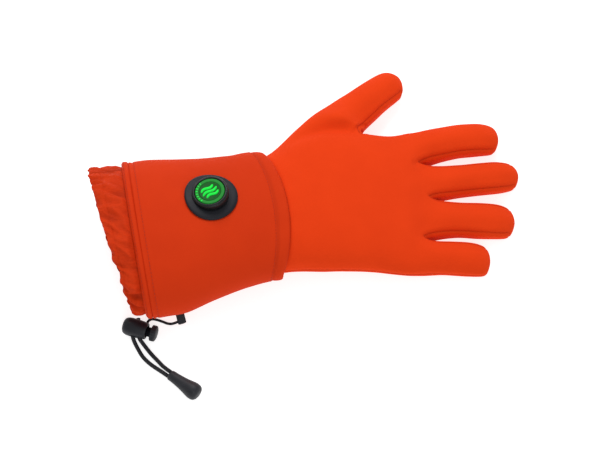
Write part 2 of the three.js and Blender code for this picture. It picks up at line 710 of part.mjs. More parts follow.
// One sewn panel: the outer face, the inner face, and a strip that joins them at the seam. Its edge
// is drawn in by half of the seam's gap.
function panelSolid(name, outer, inner, fine, small, material) {
  const points = [];
  const used = new Map();
  const index = (skin, k) => {
    const key = `${skin.side}_${k}`;
    if (!used.has(key)) {
      used.set(key, points.push(skin.points[k].clone().addScaledVector(skin.pull(name, k), SEAM_GAP / 2)) - 1);
    }
    return used.get(key);
  };
  const faces = [];
  const edge = new Set();
  for (const { loop } of fine.faces.filter((face) => face.panel === name)) {
    const [a, b, c, d] = loop.map((k) => index(outer, k));
    faces.push([a, b, c], [a, c, d]);
    loop.forEach((k, i) => {
      const next = loop[(i + 1) % 4];
      if (!edge.delete(`${next}_${k}`)) edge.add(`${k}_${next}`);
    });
  }
  for (const loop of innerLoops(name, fine, small)) {
    const around = loop.map((k) => index(inner, k));
    for (let i = 1; i + 1 < around.length; i += 1) faces.push([around[0], around[i + 1], around[i]]);
  }
  for (const key of edge) {
    const [a, b] = key.split("_").map(Number);
    const [a1, b1] = [a, b].map((k) => index(outer, k));
    const [a2, b2] = [a, b].map((k) => index(inner, k));
    // Both panels at a seam split its twisted edge faces along the same diagonal.
    if (a < b) faces.push([b1, a1, a2], [b1, a2, b2]);
    else faces.push([a1, a2, b2], [a1, b2, b1]);
  }
  return addMesh(name, points, faces, material);
}

function buildHand() {
  buildPalmCage();
  buildFingerCage();
  buildThumbCage();
  const links = neighbours(cage.targets.length, cage.faces);
  const points = fitCage(cage.targets, cage.faces, links);
  const fine = subdivide(points, cage.faces, links);
  const fineLinks = neighbours(fine.points.length, fine.faces);
  const onPlane = (p, low) => v3(p.x, p.y, Math.max(p.z, low));
  const smooth = limitPoints(fine.points, fine.faces, fineLinks);
  const normals = pointNormals(smooth, fine.faces);
  const skin = (side, inset) => {
    const place = smooth.map((p, k) => onPlane(p.clone().addScaledVector(normals[k], -inset), inset));
    return { side, points: place, pull: seamPulls(place, fine.faces) };
  };
  const outer = skin("outer", 0);
  const inner = skin("inner", HAND_WALL);
  const small = fineInside(smooth, normals);
  for (const name of new Set(cage.faces.map((face) => face.panel))) {
    panelSolid(name, outer, inner, fine, small, ORANGE_FLEECE);
  }
}

// The power button sits on the cuff's back and follows it

const buttonOrigin = cuffPoint(BUTTON_ALONG, BUTTON_AROUND);
const cuffNormal = cuffPoint(BUTTON_ALONG, BUTTON_AROUND + 1).sub(buttonOrigin)
  .cross(cuffPoint(BUTTON_ALONG + 0.01, BUTTON_AROUND).sub(buttonOrigin)).normalize();
const buttonAside = cuffNormal.clone().cross(v3(1, 0, 0)).normalize();
const buttonUp = cuffNormal.clone().applyAxisAngle(buttonAside, rad(-BUTTON_LEAN));
const buttonRight = buttonAside.clone().cross(buttonUp);

// A ring in the button's own flat frame.
function flatRing(radius, height) {
  return ring(BUTTON_SIDES, (turn) =>
    buttonOrigin.clone()
      .addScaledVector(buttonRight, radius * Math.cos(rad(turn)))
      .addScaledVector(buttonAside, radius * Math.sin(rad(turn)))
      .addScaledVector(buttonUp, height));
}

// The nearest place on the cuff's outer face.
function nearestOnCuff(point) {
  let along = BUTTON_ALONG;
  let around = BUTTON_AROUND;
  const rounds = 8;
  for (let i = 0; i < rounds; i += 1) {
    const here = cuffPoint(along, around);
    const gap = point.clone().sub(here);
    const ahead = cuffPoint(along + 0.01, around).sub(here);
    const aside = cuffPoint(along, around + 1).sub(here);
    along += (0.01 * gap.dot(ahead)) / ahead.lengthSq();
    around += gap.dot(aside) / aside.lengthSq();
  }
  return cuffPoint(along, around);
}

// A ring that follows the cuff, at a lift above it.
const skinRing = (radius, lift) => flatRing(radius, 0).map((p) => nearestOnCuff(p).addScaledVector(buttonUp, lift));

function buildButton() {
  const seat = CLEARANCE * 1.5;
  const flangeTop = seat + FLANGE_THICKNESS;
  cappedSolid("button_flange", [
    skinRing(CAP_RADIUS * 0.5, seat),
    skinRing(FLANGE_RADIUS, seat),
    skinRing(FLANGE_RADIUS, seat + FLANGE_THICKNESS * 0.35),
    skinRing(FLANGE_RADIUS - FLANGE_THICKNESS * 0.7, flangeTop - 0.3),
    skinRing(CAP_RADIUS * 1.06, flangeTop),
    skinRing(CAP_RADIUS * 0.5, flangeTop),
  ], BLACK_RUBBER);
  const capFoot = flangeTop + CLEARANCE;
  const capTop = capFoot + CAP_HEIGHT;
  const lip = FACE_RADIUS + CLEARANCE;
  cappedSolid("button_cap", [
    skinRing(CAP_RADIUS * 0.5, capFoot),
    skinRing(CAP_RADIUS, capFoot),
    flatRing(CAP_RADIUS, capTop - 1.6),
    flatRing(CAP_RADIUS - 0.5, capTop - 0.5),
    flatRing(CAP_RADIUS - 1.5, capTop),
    flatRing(lip, capTop),
    flatRing(lip, capTop - FACE_RECESS),
  ], BLACK_PLASTIC);
  cappedSolid("button_face", [
    flatRing(FACE_RADIUS, capTop - FACE_RECESS + CLEARANCE),
    flatRing(FACE_RADIUS, capTop - 0.4),
    flatRing(FACE_RADIUS - 0.5, capTop - 0.1),
  ], GREEN_LENS);
}

// The cord lock lies on the plane beside the cuff's mouth, its plunger pointing away from the hem

const LOCK_MIDDLE = v3(-158.9, -102.5, LOCK_RADIUS);

const lockAxis = v3(Math.cos(rad(LOCK_HEADING)), Math.sin(rad(LOCK_HEADING)), 0);
const lockAside = v3(-lockAxis.y, lockAxis.x, 0);

// Rings round the lock's axis, from a table of distances along it and radii.
function lockRings(rows, sides) {
  return rows.map(({ along, radius }) =>
    ring(sides, (turn) =>
      LOCK_MIDDLE.clone()
        .addScaledVector(lockAxis, along)
        .addScaledVector(lockAside, radius * Math.cos(rad(turn)))
        .add(v3(0, 0, radius * Math.sin(rad(turn))))));
}

const wasm = await Module();
wasm.setup();

function toSolid(geometry) {
  const bare = geometry.clone();
  bare.deleteAttribute("normal");
  bare.deleteAttribute("uv");
  const merged = mergeVertices(bare, 1e-4);
  const vertProperties = Float32Array.from(merged.attributes.position.array);
  const triVerts = Uint32Array.from(merged.index.array);
  return new wasm.Manifold(new wasm.Mesh({ numProp: 3, vertProperties, triVerts }));
}

function loftGeometry(rings) {
  const { points, faces } = cappedLoft(rings);
  const geometry = new THREE.BufferGeometry();
  geometry.setAttribute("position", new THREE.Float32BufferAttribute(points.flatMap((p) => p.toArray()), 3));
  geometry.setIndex(faces.flat());
  return geometry;
}

function addSolid(name, solid, material) {
  const { vertProperties, triVerts } = solid.getMesh();
  const geometry = new THREE.BufferGeometry();
  geometry.setAttribute("position", new THREE.BufferAttribute(vertProperties, 3));
  geometry.setIndex(new THREE.BufferAttribute(triVerts, 1));
  const mesh = new THREE.Mesh(geometry, material);
  mesh.name = name;
  glove.add(mesh);
}

// A cord along a smooth curve through its route.
function cordGeometry(route, diameter) {
  const curve = new THREE.CatmullRomCurve3(route, false, "centripetal");
  const section = new THREE.Shape();
  for (let j = 0; j < CORD_SIDES; j += 1) {
    const turn = rad((360 * (j + 0.5)) / CORD_SIDES);
    const corner = new THREE.Vector2(Math.cos(turn), Math.sin(turn)).multiplyScalar(diameter / 2);
    if (j === 0) section.moveTo(corner.x, corner.y);
    else section.lineTo(corner.x, corner.y);
  }
  section.closePath();
  const steps = Math.max(4, Math.round(curve.getLength() / (diameter * 1.3)));
  return new THREE.ExtrudeGeometry(section, { steps, extrudePath: curve, bevelEnabled: false });
}

function addCord(name, route, diameter) {
  const mesh = new THREE.Mesh(cordGeometry(route, diameter), BLACK_CORD);
  mesh.name = name;
  glove.add(mesh);
}

// The cords' routes: the drawcord's strands from the hem's casing through the lock, and on over the
// plane to the cord end, and the retaining cord from inside its tab to the lock.
const LEFT_ROUTE = [
  v3(-161.4, -95.5, 7.2), v3(-161.1, -99, 6.9), v3(-161, -103, 6.9), v3(-160.8, -107, 6.9), v3(-160, -110.4, 5.6),
  v3(-158.6, -113.4, 3), v3(-156.7, -116.8, 1.7), v3(-152.9, -123, 1.7), v3(-147.8, -128.2, 1.7),
  v3(-142.8, -132, 2), v3(-138.2, -135.4, 3), v3(-133.9, -138.7, 3.9),
];
const RIGHT_ROUTE = [
  v3(-156.8, -95, 7.2), v3(-156.5, -99, 6.9), v3(-156.4, -103, 6.9), v3(-156.2, -107.4, 6.9), v3(-155.2, -110.6, 5.4),
  v3(-153.2, -113, 3.1), v3(-150.4, -116.4, 1.7), v3(-146, -121.8, 1.7), v3(-141, -127.1, 1.8),
  v3(-138.2, -130.2, 2.2), v3(-135.4, -132.8, 3), v3(-131.8, -135.8, 3.9),
];
const RETAINING_ROUTE = [
  v3(-122.3, -96, 7.7), v3(-124.7, -96.9, 7.8), v3(-128, -98.2, 7.8), v3(-131.6, -98.5, 5.4), v3(-135.2, -97.4, 2.8),
  v3(-139.2, -95.4, 1.5), v3(-143.2, -94.2, 2), v3(-146.6, -94.4, 4.2), v3(-148.8, -96, 6), v3(-149.9, -97.8, 6.7),
];

function buildCords() {
  addCord("drawcord_left", LEFT_ROUTE, DRAWCORD_DIAMETER);
  addCord("drawcord_right", RIGHT_ROUTE, DRAWCORD_DIAMETER);
  addCord("retaining_cord", RETAINING_ROUTE, RETAINING_DIAMETER);
}

function buildCordLock() {
  const half = LOCK_LENGTH / 2;
  const body = toSolid(loftGeometry(lockRings([
    { along: -half, radius: LOCK_RADIUS * 0.45 },
    { along: -half * 0.88, radius: LOCK_RADIUS * 0.78 },
    { along: -half * 0.55, radius: LOCK_RADIUS * 0.97 },
    { along: 0, radius: LOCK_RADIUS },
    { along: half * 0.6, radius: LOCK_RADIUS * 0.96 },
    { along: half * 0.92, radius: LOCK_RADIUS * 0.9 },
    { along: half, radius: LOCK_RADIUS * 0.84 },
  ], 20)));
  const bore = toSolid(loftGeometry(lockRings([
    { along: half - STEM_DEPTH, radius: STEM_RADIUS + CLEARANCE },
    { along: half + 1, radius: STEM_RADIUS + CLEARANCE },
  ], 12)));
  const boreDiameter = DRAWCORD_DIAMETER + 2 * CORD_BORE_CLEARANCE;
  const holes = [LEFT_ROUTE, RIGHT_ROUTE].map((route) => toSolid(cordGeometry(route.slice(0, 8), boreDiameter)));
  addSolid("cord_lock_barrel", holes.reduce((solid, hole) => solid.subtract(hole), body.subtract(bore)), BLACK_PLASTIC);
  const capStart = half + PLUNGER_STROKE + CLEARANCE;
  const stemEnd = half - STEM_DEPTH + PLUNGER_STROKE + 2 * CLEARANCE;
  cappedSolid("cord_lock_plunger", lockRings([
    { along: stemEnd, radius: STEM_RADIUS },
    { along: capStart, radius: STEM_RADIUS },
    { along: capStart, radius: PLUNGER_RADIUS },
    { along: capStart + PLUNGER_CAP - 0.6, radius: PLUNGER_RADIUS },
    { along: capStart + PLUNGER_CAP, radius: PLUNGER_RADIUS - 0.6 },
    { along: capStart + PLUNGER_CAP + 0.5, radius: PLUNGER_RADIUS * 0.55 },
  ], 20), BLACK_PLASTIC);
}

// The moulded cord end: a bell that lies where both strands meet, its middle line rising with it.
const CORD_END_START = v3(-132.4, -137.6, 3.95);
const CORD_END_HEADING = -37.5;

function buildCordEnd() {
  const rows = [
    { along: 0, radius: 0.86 },
    { along: 0.05, radius: 1 },
    { along: 0.35, radius: 1.14 },
    { along: 0.62, radius: 1.42 },
    { along: 0.82, radius: CORD_END_RADIUS / CORD_END_NECK },
    { along: 0.94, radius: 1.45 },
    { along: 1, radius: 0.95 },
  ];
  const ahead = v3(Math.cos(rad(CORD_END_HEADING)), Math.sin(rad(CORD_END_HEADING)), 0);
  const aside = v3(-ahead.y, ahead.x, 0);
  const rings = rows.map((row) => {
    const radius = row.radius * CORD_END_NECK;
    const middle = CORD_END_START.clone().addScaledVector(ahead, row.along * CORD_END_LENGTH);
    middle.z = mix(CORD_END_NECK, CORD_END_RADIUS, Math.min(row.along / 0.82, 1));
    return ring(16, (turn) =>
      middle.clone()
        .addScaledVector(aside, radius * Math.cos(rad(turn)))
        .add(v3(0, 0, radius * Math.sin(rad(turn)))));
  });
  cappedSolid("cord_end", rings, BLACK_RUBBER);
}

// The webbing tab: a strip folded on itself, hanging from the cuff's lower edge
const TAB_ALONG = 0.19;
const TAB_AROUND = 206;

function buildTab() {
  const root = cuffPoint(TAB_ALONG, TAB_AROUND);
  const across = cuffPoint(TAB_ALONG + 0.01, TAB_AROUND).sub(root).normalize();
  const outwards = cuffPoint(TAB_ALONG, TAB_AROUND + 1).sub(root).cross(across).normalize();
  const down = v3(0, -0.55, -0.835);
  down.addScaledVector(across, -down.dot(across)).normalize();
  const deep = down.clone().cross(across);
  const loopHalf = TAB_THICKNESS + RETAINING_DIAMETER / 2 + CLEARANCE;
  const middle = root.clone().addScaledVector(outwards, loopHalf + CLEARANCE);
  const rows = 14;
  const outline = (radius) =>
    Array.from({ length: rows }, (_, i) => {
      const turn = (360 * i) / rows;
      const reach = Math.cos(rad(turn)) > 0 ? TAB_DROP - 2 * loopHalf : 0;
      return new THREE.Vector2(radius * Math.cos(rad(turn)) + reach, radius * Math.sin(rad(turn)));
    });
  const place = (p, side) =>
    middle.clone().addScaledVector(down, p.x).addScaledVector(deep, p.y).addScaledVector(across, side);
  const [outer, inner] = [outline(loopHalf), outline(loopHalf - TAB_THICKNESS)];
  wallSolid("retaining_tab", [
    outer.map((p) => place(p, TAB_WIDTH / 2)),
    outer.map((p) => place(p, -TAB_WIDTH / 2)),
    inner.map((p) => place(p, -TAB_WIDTH / 2)),
    inner.map((p) => place(p, TAB_WIDTH / 2)),
  ], BLACK_CORD);
}

buildHand();
buildCuff();
buildHem();
buildButton();
buildCordLock();
buildCords();
buildCordEnd();
buildTab();

export default glove;
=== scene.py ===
# %% [markdown]
# A heated glove for the right hand, lying palm down on a pale floor.
#
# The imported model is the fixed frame: it says where every piece is and how big. This lesson dresses
# it. Each piece of cloth, rubber or plastic gets a fine mesh of its own and a material built from
# nodes. Lengths in the tables are millimetres, and every mesh is made in metres.

import math
from bisect import bisect_right

import bpy
import numpy as np
from mathutils import Matrix, Vector, noise
from mathutils.kdtree import KDTree


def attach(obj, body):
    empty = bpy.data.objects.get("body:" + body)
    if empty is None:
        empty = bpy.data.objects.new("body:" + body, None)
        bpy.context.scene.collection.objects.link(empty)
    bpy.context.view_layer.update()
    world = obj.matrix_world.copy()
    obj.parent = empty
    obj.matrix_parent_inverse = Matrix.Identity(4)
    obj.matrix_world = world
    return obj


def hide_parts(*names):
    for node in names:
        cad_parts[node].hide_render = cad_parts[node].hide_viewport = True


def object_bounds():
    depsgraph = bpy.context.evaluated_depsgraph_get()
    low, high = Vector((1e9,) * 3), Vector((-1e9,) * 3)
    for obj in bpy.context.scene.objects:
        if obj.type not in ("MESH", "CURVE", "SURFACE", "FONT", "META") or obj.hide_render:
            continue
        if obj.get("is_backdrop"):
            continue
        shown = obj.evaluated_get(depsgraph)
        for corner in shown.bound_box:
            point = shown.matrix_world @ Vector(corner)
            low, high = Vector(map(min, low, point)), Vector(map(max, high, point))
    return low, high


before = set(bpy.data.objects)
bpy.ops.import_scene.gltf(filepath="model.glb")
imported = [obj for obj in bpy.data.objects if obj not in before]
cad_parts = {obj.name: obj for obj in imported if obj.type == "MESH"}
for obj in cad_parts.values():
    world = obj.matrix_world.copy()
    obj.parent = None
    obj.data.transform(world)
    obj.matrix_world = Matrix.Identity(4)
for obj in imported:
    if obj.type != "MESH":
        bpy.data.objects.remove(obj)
cad_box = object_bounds()
MM = 0.001
print("packed nodes:", len(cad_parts))

# %% [markdown]
# The camera comes first, because everything is judged through it. The picture shows the glove from
# a steep angle: 65 degrees above the floor, from the little finger's side. A long lens keeps the
# fingers from looking bigger than the cuff.

# %% The camera
LOOK_AT = Vector((-37.5, -24, 18)) * MM
CAMERA_DISTANCE = 1.25
CAMERA_ELEVATION = math.radians(65)


def add_camera():
    camera = bpy.data.cameras.new("camera")
    camera.lens = 100
    camera.sensor_width = 36
    camera.sensor_fit = "HORIZONTAL"
    holder = bpy.data.objects.new("camera", camera)
    bpy.context.scene.collection.objects.link(holder)
    back = Vector((0, -math.cos(CAMERA_ELEVATION), math.sin(CAMERA_ELEVATION)))
    holder.location = LOOK_AT + back * CAMERA_DISTANCE
    holder.rotation_euler = back.to_track_quat("Z", "Y").to_euler()
    bpy.context.scene.camera = holder


add_camera()
print("camera", CAMERA_DISTANCE, "m away,", round(math.degrees(CAMERA_ELEVATION)), "degrees up")

# %% [markdown]
# Most pieces here are rings of points joined into a skin: a cuff, a cord, a button. One helper makes
# them all. It also lays out a UV map in real metres, so that a weave of 0.4 mm stays 0.4 mm on every
# piece, however it bends.

# %% Skins through rings
def link(name, mesh):
    piece = bpy.data.objects.new(name, mesh)
    bpy.context.scene.collection.objects.link(piece)
    return piece


def running_lengths(points):
    total, out = 0.0, [0.0]
    for a, b in zip(points, points[1:]):
        total += (b - a).length * MM
        out.append(total)
    return out


def skin(name, rings, round_again=False, caps=False):
    """A mesh through rings of equally many points, in millimetres.

    round_again joins the last ring to the first, and caps closes both ends."""
    sides, rows = len(rings[0]), len(rings)
    points = [p for ring in rings for p in ring]
    across = running_lengths([*rings[rows // 2], rings[rows // 2][0]])
    along = running_lengths([ring[0] for ring in [*rings, rings[0]]])
    faces, places = [], []
    for i in range(rows if round_again else rows - 1):
        here, after = i * sides, ((i + 1) % rows) * sides
        for j in range(sides):
            k = (j + 1) % sides
            faces.append((here + j, here + k, after + k, after + j))
            places += [(across[j], along[i]), (across[j + 1], along[i])]
            places += [(across[j + 1], along[i + 1]), (across[j], along[i + 1])]
    ends = [(rings[0], 0, -1), (rings[-1], (rows - 1) * sides, 1)] if caps else []
    for ring, start, outwards in ends:
        points.append(sum(ring, Vector()) / sides)
        middle = len(points) - 1
        for j in range(sides):
            a, b = start + j, start + (j + 1) % sides
            faces.append((middle, a, b) if outwards > 0 else (middle, b, a))
            places += [(0, 0), (MM, 0), (0, MM)]
    mesh = bpy.data.meshes.new(name)
    mesh.from_pydata([p * MM for p in points], [], faces)
    uv = mesh.uv_layers.new(name="cloth")
    uv.data.foreach_set("uv", [value for place in places for value in place])
    mesh.shade_smooth()
    return link(name, mesh)


def circle(sides, place):
    """A ring of points: place takes the turn in degrees."""
    return [place(360 * j / sides) for j in range(sides)]


def cos_sin(degrees):
    turn = math.radians(degrees)
    return math.cos(turn), math.sin(turn)


def heading(degrees):
    """The level direction that is turned this far from x."""
    return Vector((*cos_sin(degrees), 0))


def round_ring(sides, middle, right, up, radius):
    """A ring round the middle. radius is a number, or a function of the turn in degrees."""
    def place(turn):
        reach = radius(turn) if callable(radius) else radius
        c, s = cos_sin(turn)
        return middle + right * (reach * c) + up * (reach * s)

    return circle(sides, place)


def mix(a, b, t):
    return a + (b - a) * t


def smooth_step(value, low, high):
    t = min(max((value - low) / (high - low), 0), 1)
    return t * t * (3 - 2 * t)


def bump_at(value, middle, width):
    """A soft hill of height 1 round the middle."""
    return math.exp(-(((value - middle) / width) ** 2))


def as_shown(piece):
    """A plain mesh of the piece as its modifiers leave it."""
    return bpy.data.meshes.new_from_object(piece.evaluated_get(bpy.context.evaluated_depsgraph_get()))


def make_plain(piece):
    """Gives the piece the mesh that its modifiers make, and drops them."""
    whole = as_shown(piece)
    piece.modifiers.clear()
    piece.data = whole


def mark_points(piece, name, values):
    """Gives every point of a piece a number that its material can read by name."""
    piece.data.attributes.new(name, "FLOAT", "POINT").data.foreach_set("value", values)


print("one helper for skins, and a soft hill of height", bump_at(0, 0, 1))

# %% [markdown]
# Materials are written as arithmetic. Colour, roughness and relief of cloth all depend on where a
# point is, so the formulas soon get long, and a tree of boxes is hard to read. A small class wraps a
# socket, and `0.8 + mask * 0.3` then adds the Math nodes by itself.

# %% Shader maths
class Wire:
    """A number that changes over the surface: the output socket of some node."""

    def __init__(self, paint, socket):
        self.paint = paint
        self.socket = socket

    def maths(self, operation, a, b):
        return self.paint.node("ShaderNodeMath", {"operation": operation}, {0: a, 1: b})

    def __add__(self, other):
        return self.maths("ADD", self, other)

    def __radd__(self, other):
        return self.maths("ADD", other, self)

    def __sub__(self, other):
        return self.maths("SUBTRACT", self, other)

    def __mul__(self, other):
        return self.maths("MULTIPLY", self, other)


class Paint:
    """One material and its nodes."""

    def __init__(self, name):
        self.material = bpy.data.materials.new(name)
        self.material.use_nodes = True
        self.tree = self.material.node_tree
        self.tree.nodes.clear()

    def node(self, kind, settings=None, sockets=None, outlet=0):
        """Adds a node, sets it up, feeds its sockets, and returns one of its outputs as a Wire."""
        made = self.tree.nodes.new(kind)
        for key, value in (settings or {}).items():
            setattr(made, key, value)
        for key, value in (sockets or {}).items():
            if isinstance(value, Wire):
                self.tree.links.new(value.socket, made.inputs[key])
            else:
                made.inputs[key].default_value = value
        return Wire(self, made.outputs[outlet])

    def place(self, uv=None):
        """Where a point is: on its UV map, or in the object."""
        if uv:
            return self.node("ShaderNodeUVMap", {"uv_map": uv})
        return self.node("ShaderNodeTexCoord", outlet="Object")

    def noise(self, place, size, detail=3, roughness=0.5):
        """Cloudy noise from 0 to 1, whose lumps are about this many millimetres."""
        sockets = {"Vector": place, "Scale": 1 / (size * MM), "Detail": detail, "Roughness": roughness}
        return self.node("ShaderNodeTexNoise", None, sockets)

    def attribute(self, name):
        return self.node("ShaderNodeAttribute", {"attribute_name": name}, outlet="Fac")

    def blend(self, share, a, b):
        """A colour between a and b."""
        return self.node("ShaderNodeMix", {"data_type": "RGBA"}, {0: share, 6: a, 7: b}, outlet=2)

    def split(self, vector):
        """The x and y of a place."""
        parts = self.tree.nodes.new("ShaderNodeSeparateXYZ")
        self.tree.links.new(vector.socket, parts.inputs[0])
        return Wire(self, parts.outputs[0]), Wire(self, parts.outputs[1])

    def wave(self, value):
        return self.node("ShaderNodeMath", {"operation": "SINE"}, {0: value})

    def crossed(self, first, second, thread):
        """Threads this many millimetres apart that cross: 1 where one lies over, -1 where it dips."""
        pitch = 2 * math.pi / (thread * MM)
        return self.wave(first * pitch) * self.wave(second * pitch)

    def clamp(self, value):
        return self.node("ShaderNodeClamp", None, {"Value": value})

    def relief(self, height, millimetres, strength):
        sockets = {"Height": height, "Distance": millimetres * MM, "Strength": strength}
        return self.node("ShaderNodeBump", None, sockets)

    def finish(self, **sockets):
        """Ends the tree in a Principled shader. A socket's name has its spaces written as _."""
        shader = self.tree.nodes.new("ShaderNodeBsdfPrincipled")
        for key, value in sockets.items():
            socket = shader.inputs[key.replace("_", " ")]
            if isinstance(value, Wire):
                self.tree.links.new(value.socket, socket)
            else:
                socket.default_value = value
        out = self.tree.nodes.new("ShaderNodeOutputMaterial")
        self.tree.links.new(shader.outputs[0], out.inputs[0])
        return self.material


def linear(red, green, blue):
    """A colour as a screen shows it, from 0 to 255, as the numbers that light is worked out in."""
    def channel(value):
        share = value / 255
        return share / 12.92 if share <= 0.04045 else ((share + 0.055) / 1.055) ** 2.4

    return (channel(red), channel(green), channel(blue), 1.0)


print("half grey on a screen is", round(linear(128, 128, 128)[0], 2), "of the light of white")

# %% [markdown]
# The hand is a soft-shell: a tightly knitted stretch fabric with a brushed face. Up close it has a
# fine, slightly uneven nap, and from a distance it is almost flat orange. Where two panels meet the
# seam sinks in, and the colour there is painted darker: painted shade in the seam's groove. A vertex
# attribute named seam, 1 on the seam and fading to 0, carries that place into the material.

# %% Cloth finishes
def fleece():
    paint = Paint("brushed_fleece")
    here = paint.place()
    clouds = paint.noise(here, 22, 2)
    nap = paint.noise(here, 0.55, 4, 0.65)
    fibre = paint.noise(here, 2.2, 3)
    seam = paint.attribute("seam")
    lit = paint.blend(clouds, linear(222, 60, 13), linear(232, 65, 16))
    napped = paint.blend(nap * 0.3, lit, linear(202, 44, 12))
    # Painted shade: the colour darkens along the seams, by the seam attribute.
    colour = paint.blend(paint.clamp(seam * 0.3), napped, linear(150, 34, 9))
    height = nap + fibre * 0.8
    return paint.finish(
        Base_Color=colour,
        Roughness=0.86 + nap * 0.1,
        Normal=paint.relief(height, 0.16, 0.55),
        Sheen_Weight=0.04,
        Sheen_Roughness=0.5,
        Sheen_Tint=linear(255, 120, 70),
        Specular_IOR_Level=0.1,
    )


def padding():
    paint = Paint("padded_knit")
    around, along = paint.split(paint.place("cloth"))
    here = paint.place()
    knit = paint.crossed(around, along, 0.9)
    clouds = paint.noise(here, 26, 2)
    nap = paint.noise(here, 0.7, 3, 0.6)
    seam = paint.attribute("seam")
    lit = paint.blend(clouds, linear(200, 50, 9), linear(212, 56, 11))
    napped = paint.blend(nap * 0.3, lit, linear(180, 41, 9))
    # Painted shade: the colour darkens in the cuff's grooves, by the seam attribute.
    colour = paint.blend(paint.clamp(seam * 0.6), napped, linear(120, 28, 8))
    return paint.finish(
        Base_Color=colour,
        Roughness=0.74 + nap * 0.12,
        Normal=paint.relief(nap + knit * 0.25, 0.14, 0.5),
        Sheen_Weight=0.03,
        Sheen_Roughness=0.4,
        Sheen_Tint=linear(255, 120, 70),
        Specular_IOR_Level=0.1,
    )


def nylon():
    paint = Paint("woven_nylon")
    around, along = paint.split(paint.place("cloth"))
    here = paint.place()
    weave = paint.crossed(around, along, 0.45)
    stretch = {"Vector": paint.place("cloth"), "Scale": (1, 0.3, 1)}
    drawn = paint.node("ShaderNodeMapping", None, stretch)
    crinkle = paint.noise(drawn, 2.6, 4, 0.6)
    patches = paint.noise(here, 9, 3)
    lit = paint.blend(patches, linear(206, 50, 8), linear(234, 66, 12))
    woven = paint.blend(paint.clamp(weave * 0.5 + 0.5) * 0.2, lit, linear(170, 40, 7))
    # Painted shade: the colour is darker in the crinkles' hollows, where their relief is low.
    creased = paint.blend(0.5 + crinkle * 0.5, linear(160, 38, 8), woven)
    # Painted shade: the nylon is darker in the valleys between the gathers.
    colour = paint.blend(paint.attribute("valley") * 0.5, creased, linear(140, 32, 8))
    return paint.finish(
        Base_Color=colour,
        Roughness=0.62 + crinkle * 0.15,
        Normal=paint.relief(crinkle * 1.8 + weave * 0.06, 0.7, 0.9),
        Specular_IOR_Level=0.1,
    )


FLEECE = fleece()
PADDING = padding()
NYLON = nylon()
print("cloth finishes:", FLEECE.name, PADDING.name, NYLON.name)

# %% [markdown]
# The hardware is moulded. Black plastic is never quite black and never quite smooth: the mould
# leaves a fine grain, and handling polishes it unevenly. Rubber is the same idea, softer and
# slightly blue. The lens is lit from behind, so it is green glass over a glow.

# %% Moulded finishes
def moulded(name, dark, light, rough, grain):
    paint = Paint(name)
    here = paint.place()
    speck = paint.noise(here, grain, 3)
    wear = paint.noise(here, 6, 3)
    return paint.finish(
        Base_Color=paint.blend(wear, linear(*dark), linear(*light)),
        Roughness=rough + wear * 0.16,
        Normal=paint.relief(speck, 0.05, 0.5),
        Specular_IOR_Level=0.3,
    )


def lens(name, colour, glow):
    paint = Paint(name)
    here = paint.place()
    speck = paint.noise(here, 1.6, 3)
    shade = paint.blend(speck, linear(*(0.8 * c for c in colour)), linear(*colour))
    return paint.finish(
        Base_Color=shade,
        Roughness=0.5 + speck * 0.1,
        Emission_Color=shade,
        Emission_Strength=glow,
        Specular_IOR_Level=0.2,
    )


def braid(name, thread):
    """Thread laid over and under in two directions round a cord."""
    paint = Paint(name)
    around, along = paint.split(paint.place("cloth"))
    plait = paint.crossed(along + around, along - around, thread)
    fuzz = paint.noise(paint.place(), 0.4, 3)
    # Painted shade: the threads are lighter where they lie over and darker where they dip.
    over = paint.clamp(plait * 0.5 + 0.5)
    return paint.finish(
        Base_Color=paint.blend(over, linear(22, 22, 25), linear(56, 57, 62)),
        Roughness=0.75 + fuzz * 0.2,
        Normal=paint.relief(plait + fuzz * 0.4, 0.25, 0.8),
        Specular_IOR_Level=0.25,
    )


RUBBER = moulded("flange_rubber", (10, 11, 18), (18, 20, 31), 0.5, 0.5)
CAP_PLASTIC = moulded("cap_plastic", (10, 12, 14), (18, 21, 24), 0.34, 0.35)
LOCK_PLASTIC = moulded("lock_plastic", (16, 17, 22), (32, 34, 42), 0.38, 0.35)
END_RUBBER = moulded("end_rubber", (22, 23, 27), (40, 42, 48), 0.46, 0.5)
CORD_BRAID = braid("cord_braid", 1.5)
FINE_BRAID = braid("fine_braid", 1.0)
WEBBING = braid("tab_webbing", 1.1)
RING_GREEN = lens("lens_ring", (18, 128, 38), 0.3)
DEEP_GREEN = lens("lens_middle", (4, 84, 18), 0.2)
BRIGHT_GREEN = lens("lens_mark", (20, 205, 60), 0.8)
THREAD = moulded("sewing_thread", (150, 34, 10), (196, 50, 16), 0.7, 0.3)
print("materials so far:", len(bpy.data.materials))

# %% [markdown]
# The drawcord is an elastic cord in two strands, from the hem through the cord lock to a moulded
# end. A cord keeps its length, so its route is a list of chosen points with a smooth curve through
# them. The mesh is a tube swept along that curve without twisting, and its UV map runs along the
# cord, so that the braid follows every bend.

# %% Cords
CORD_SIDES = 20
DRAWCORD_DIAMETER = 3
RETAINING_DIAMETER = 2

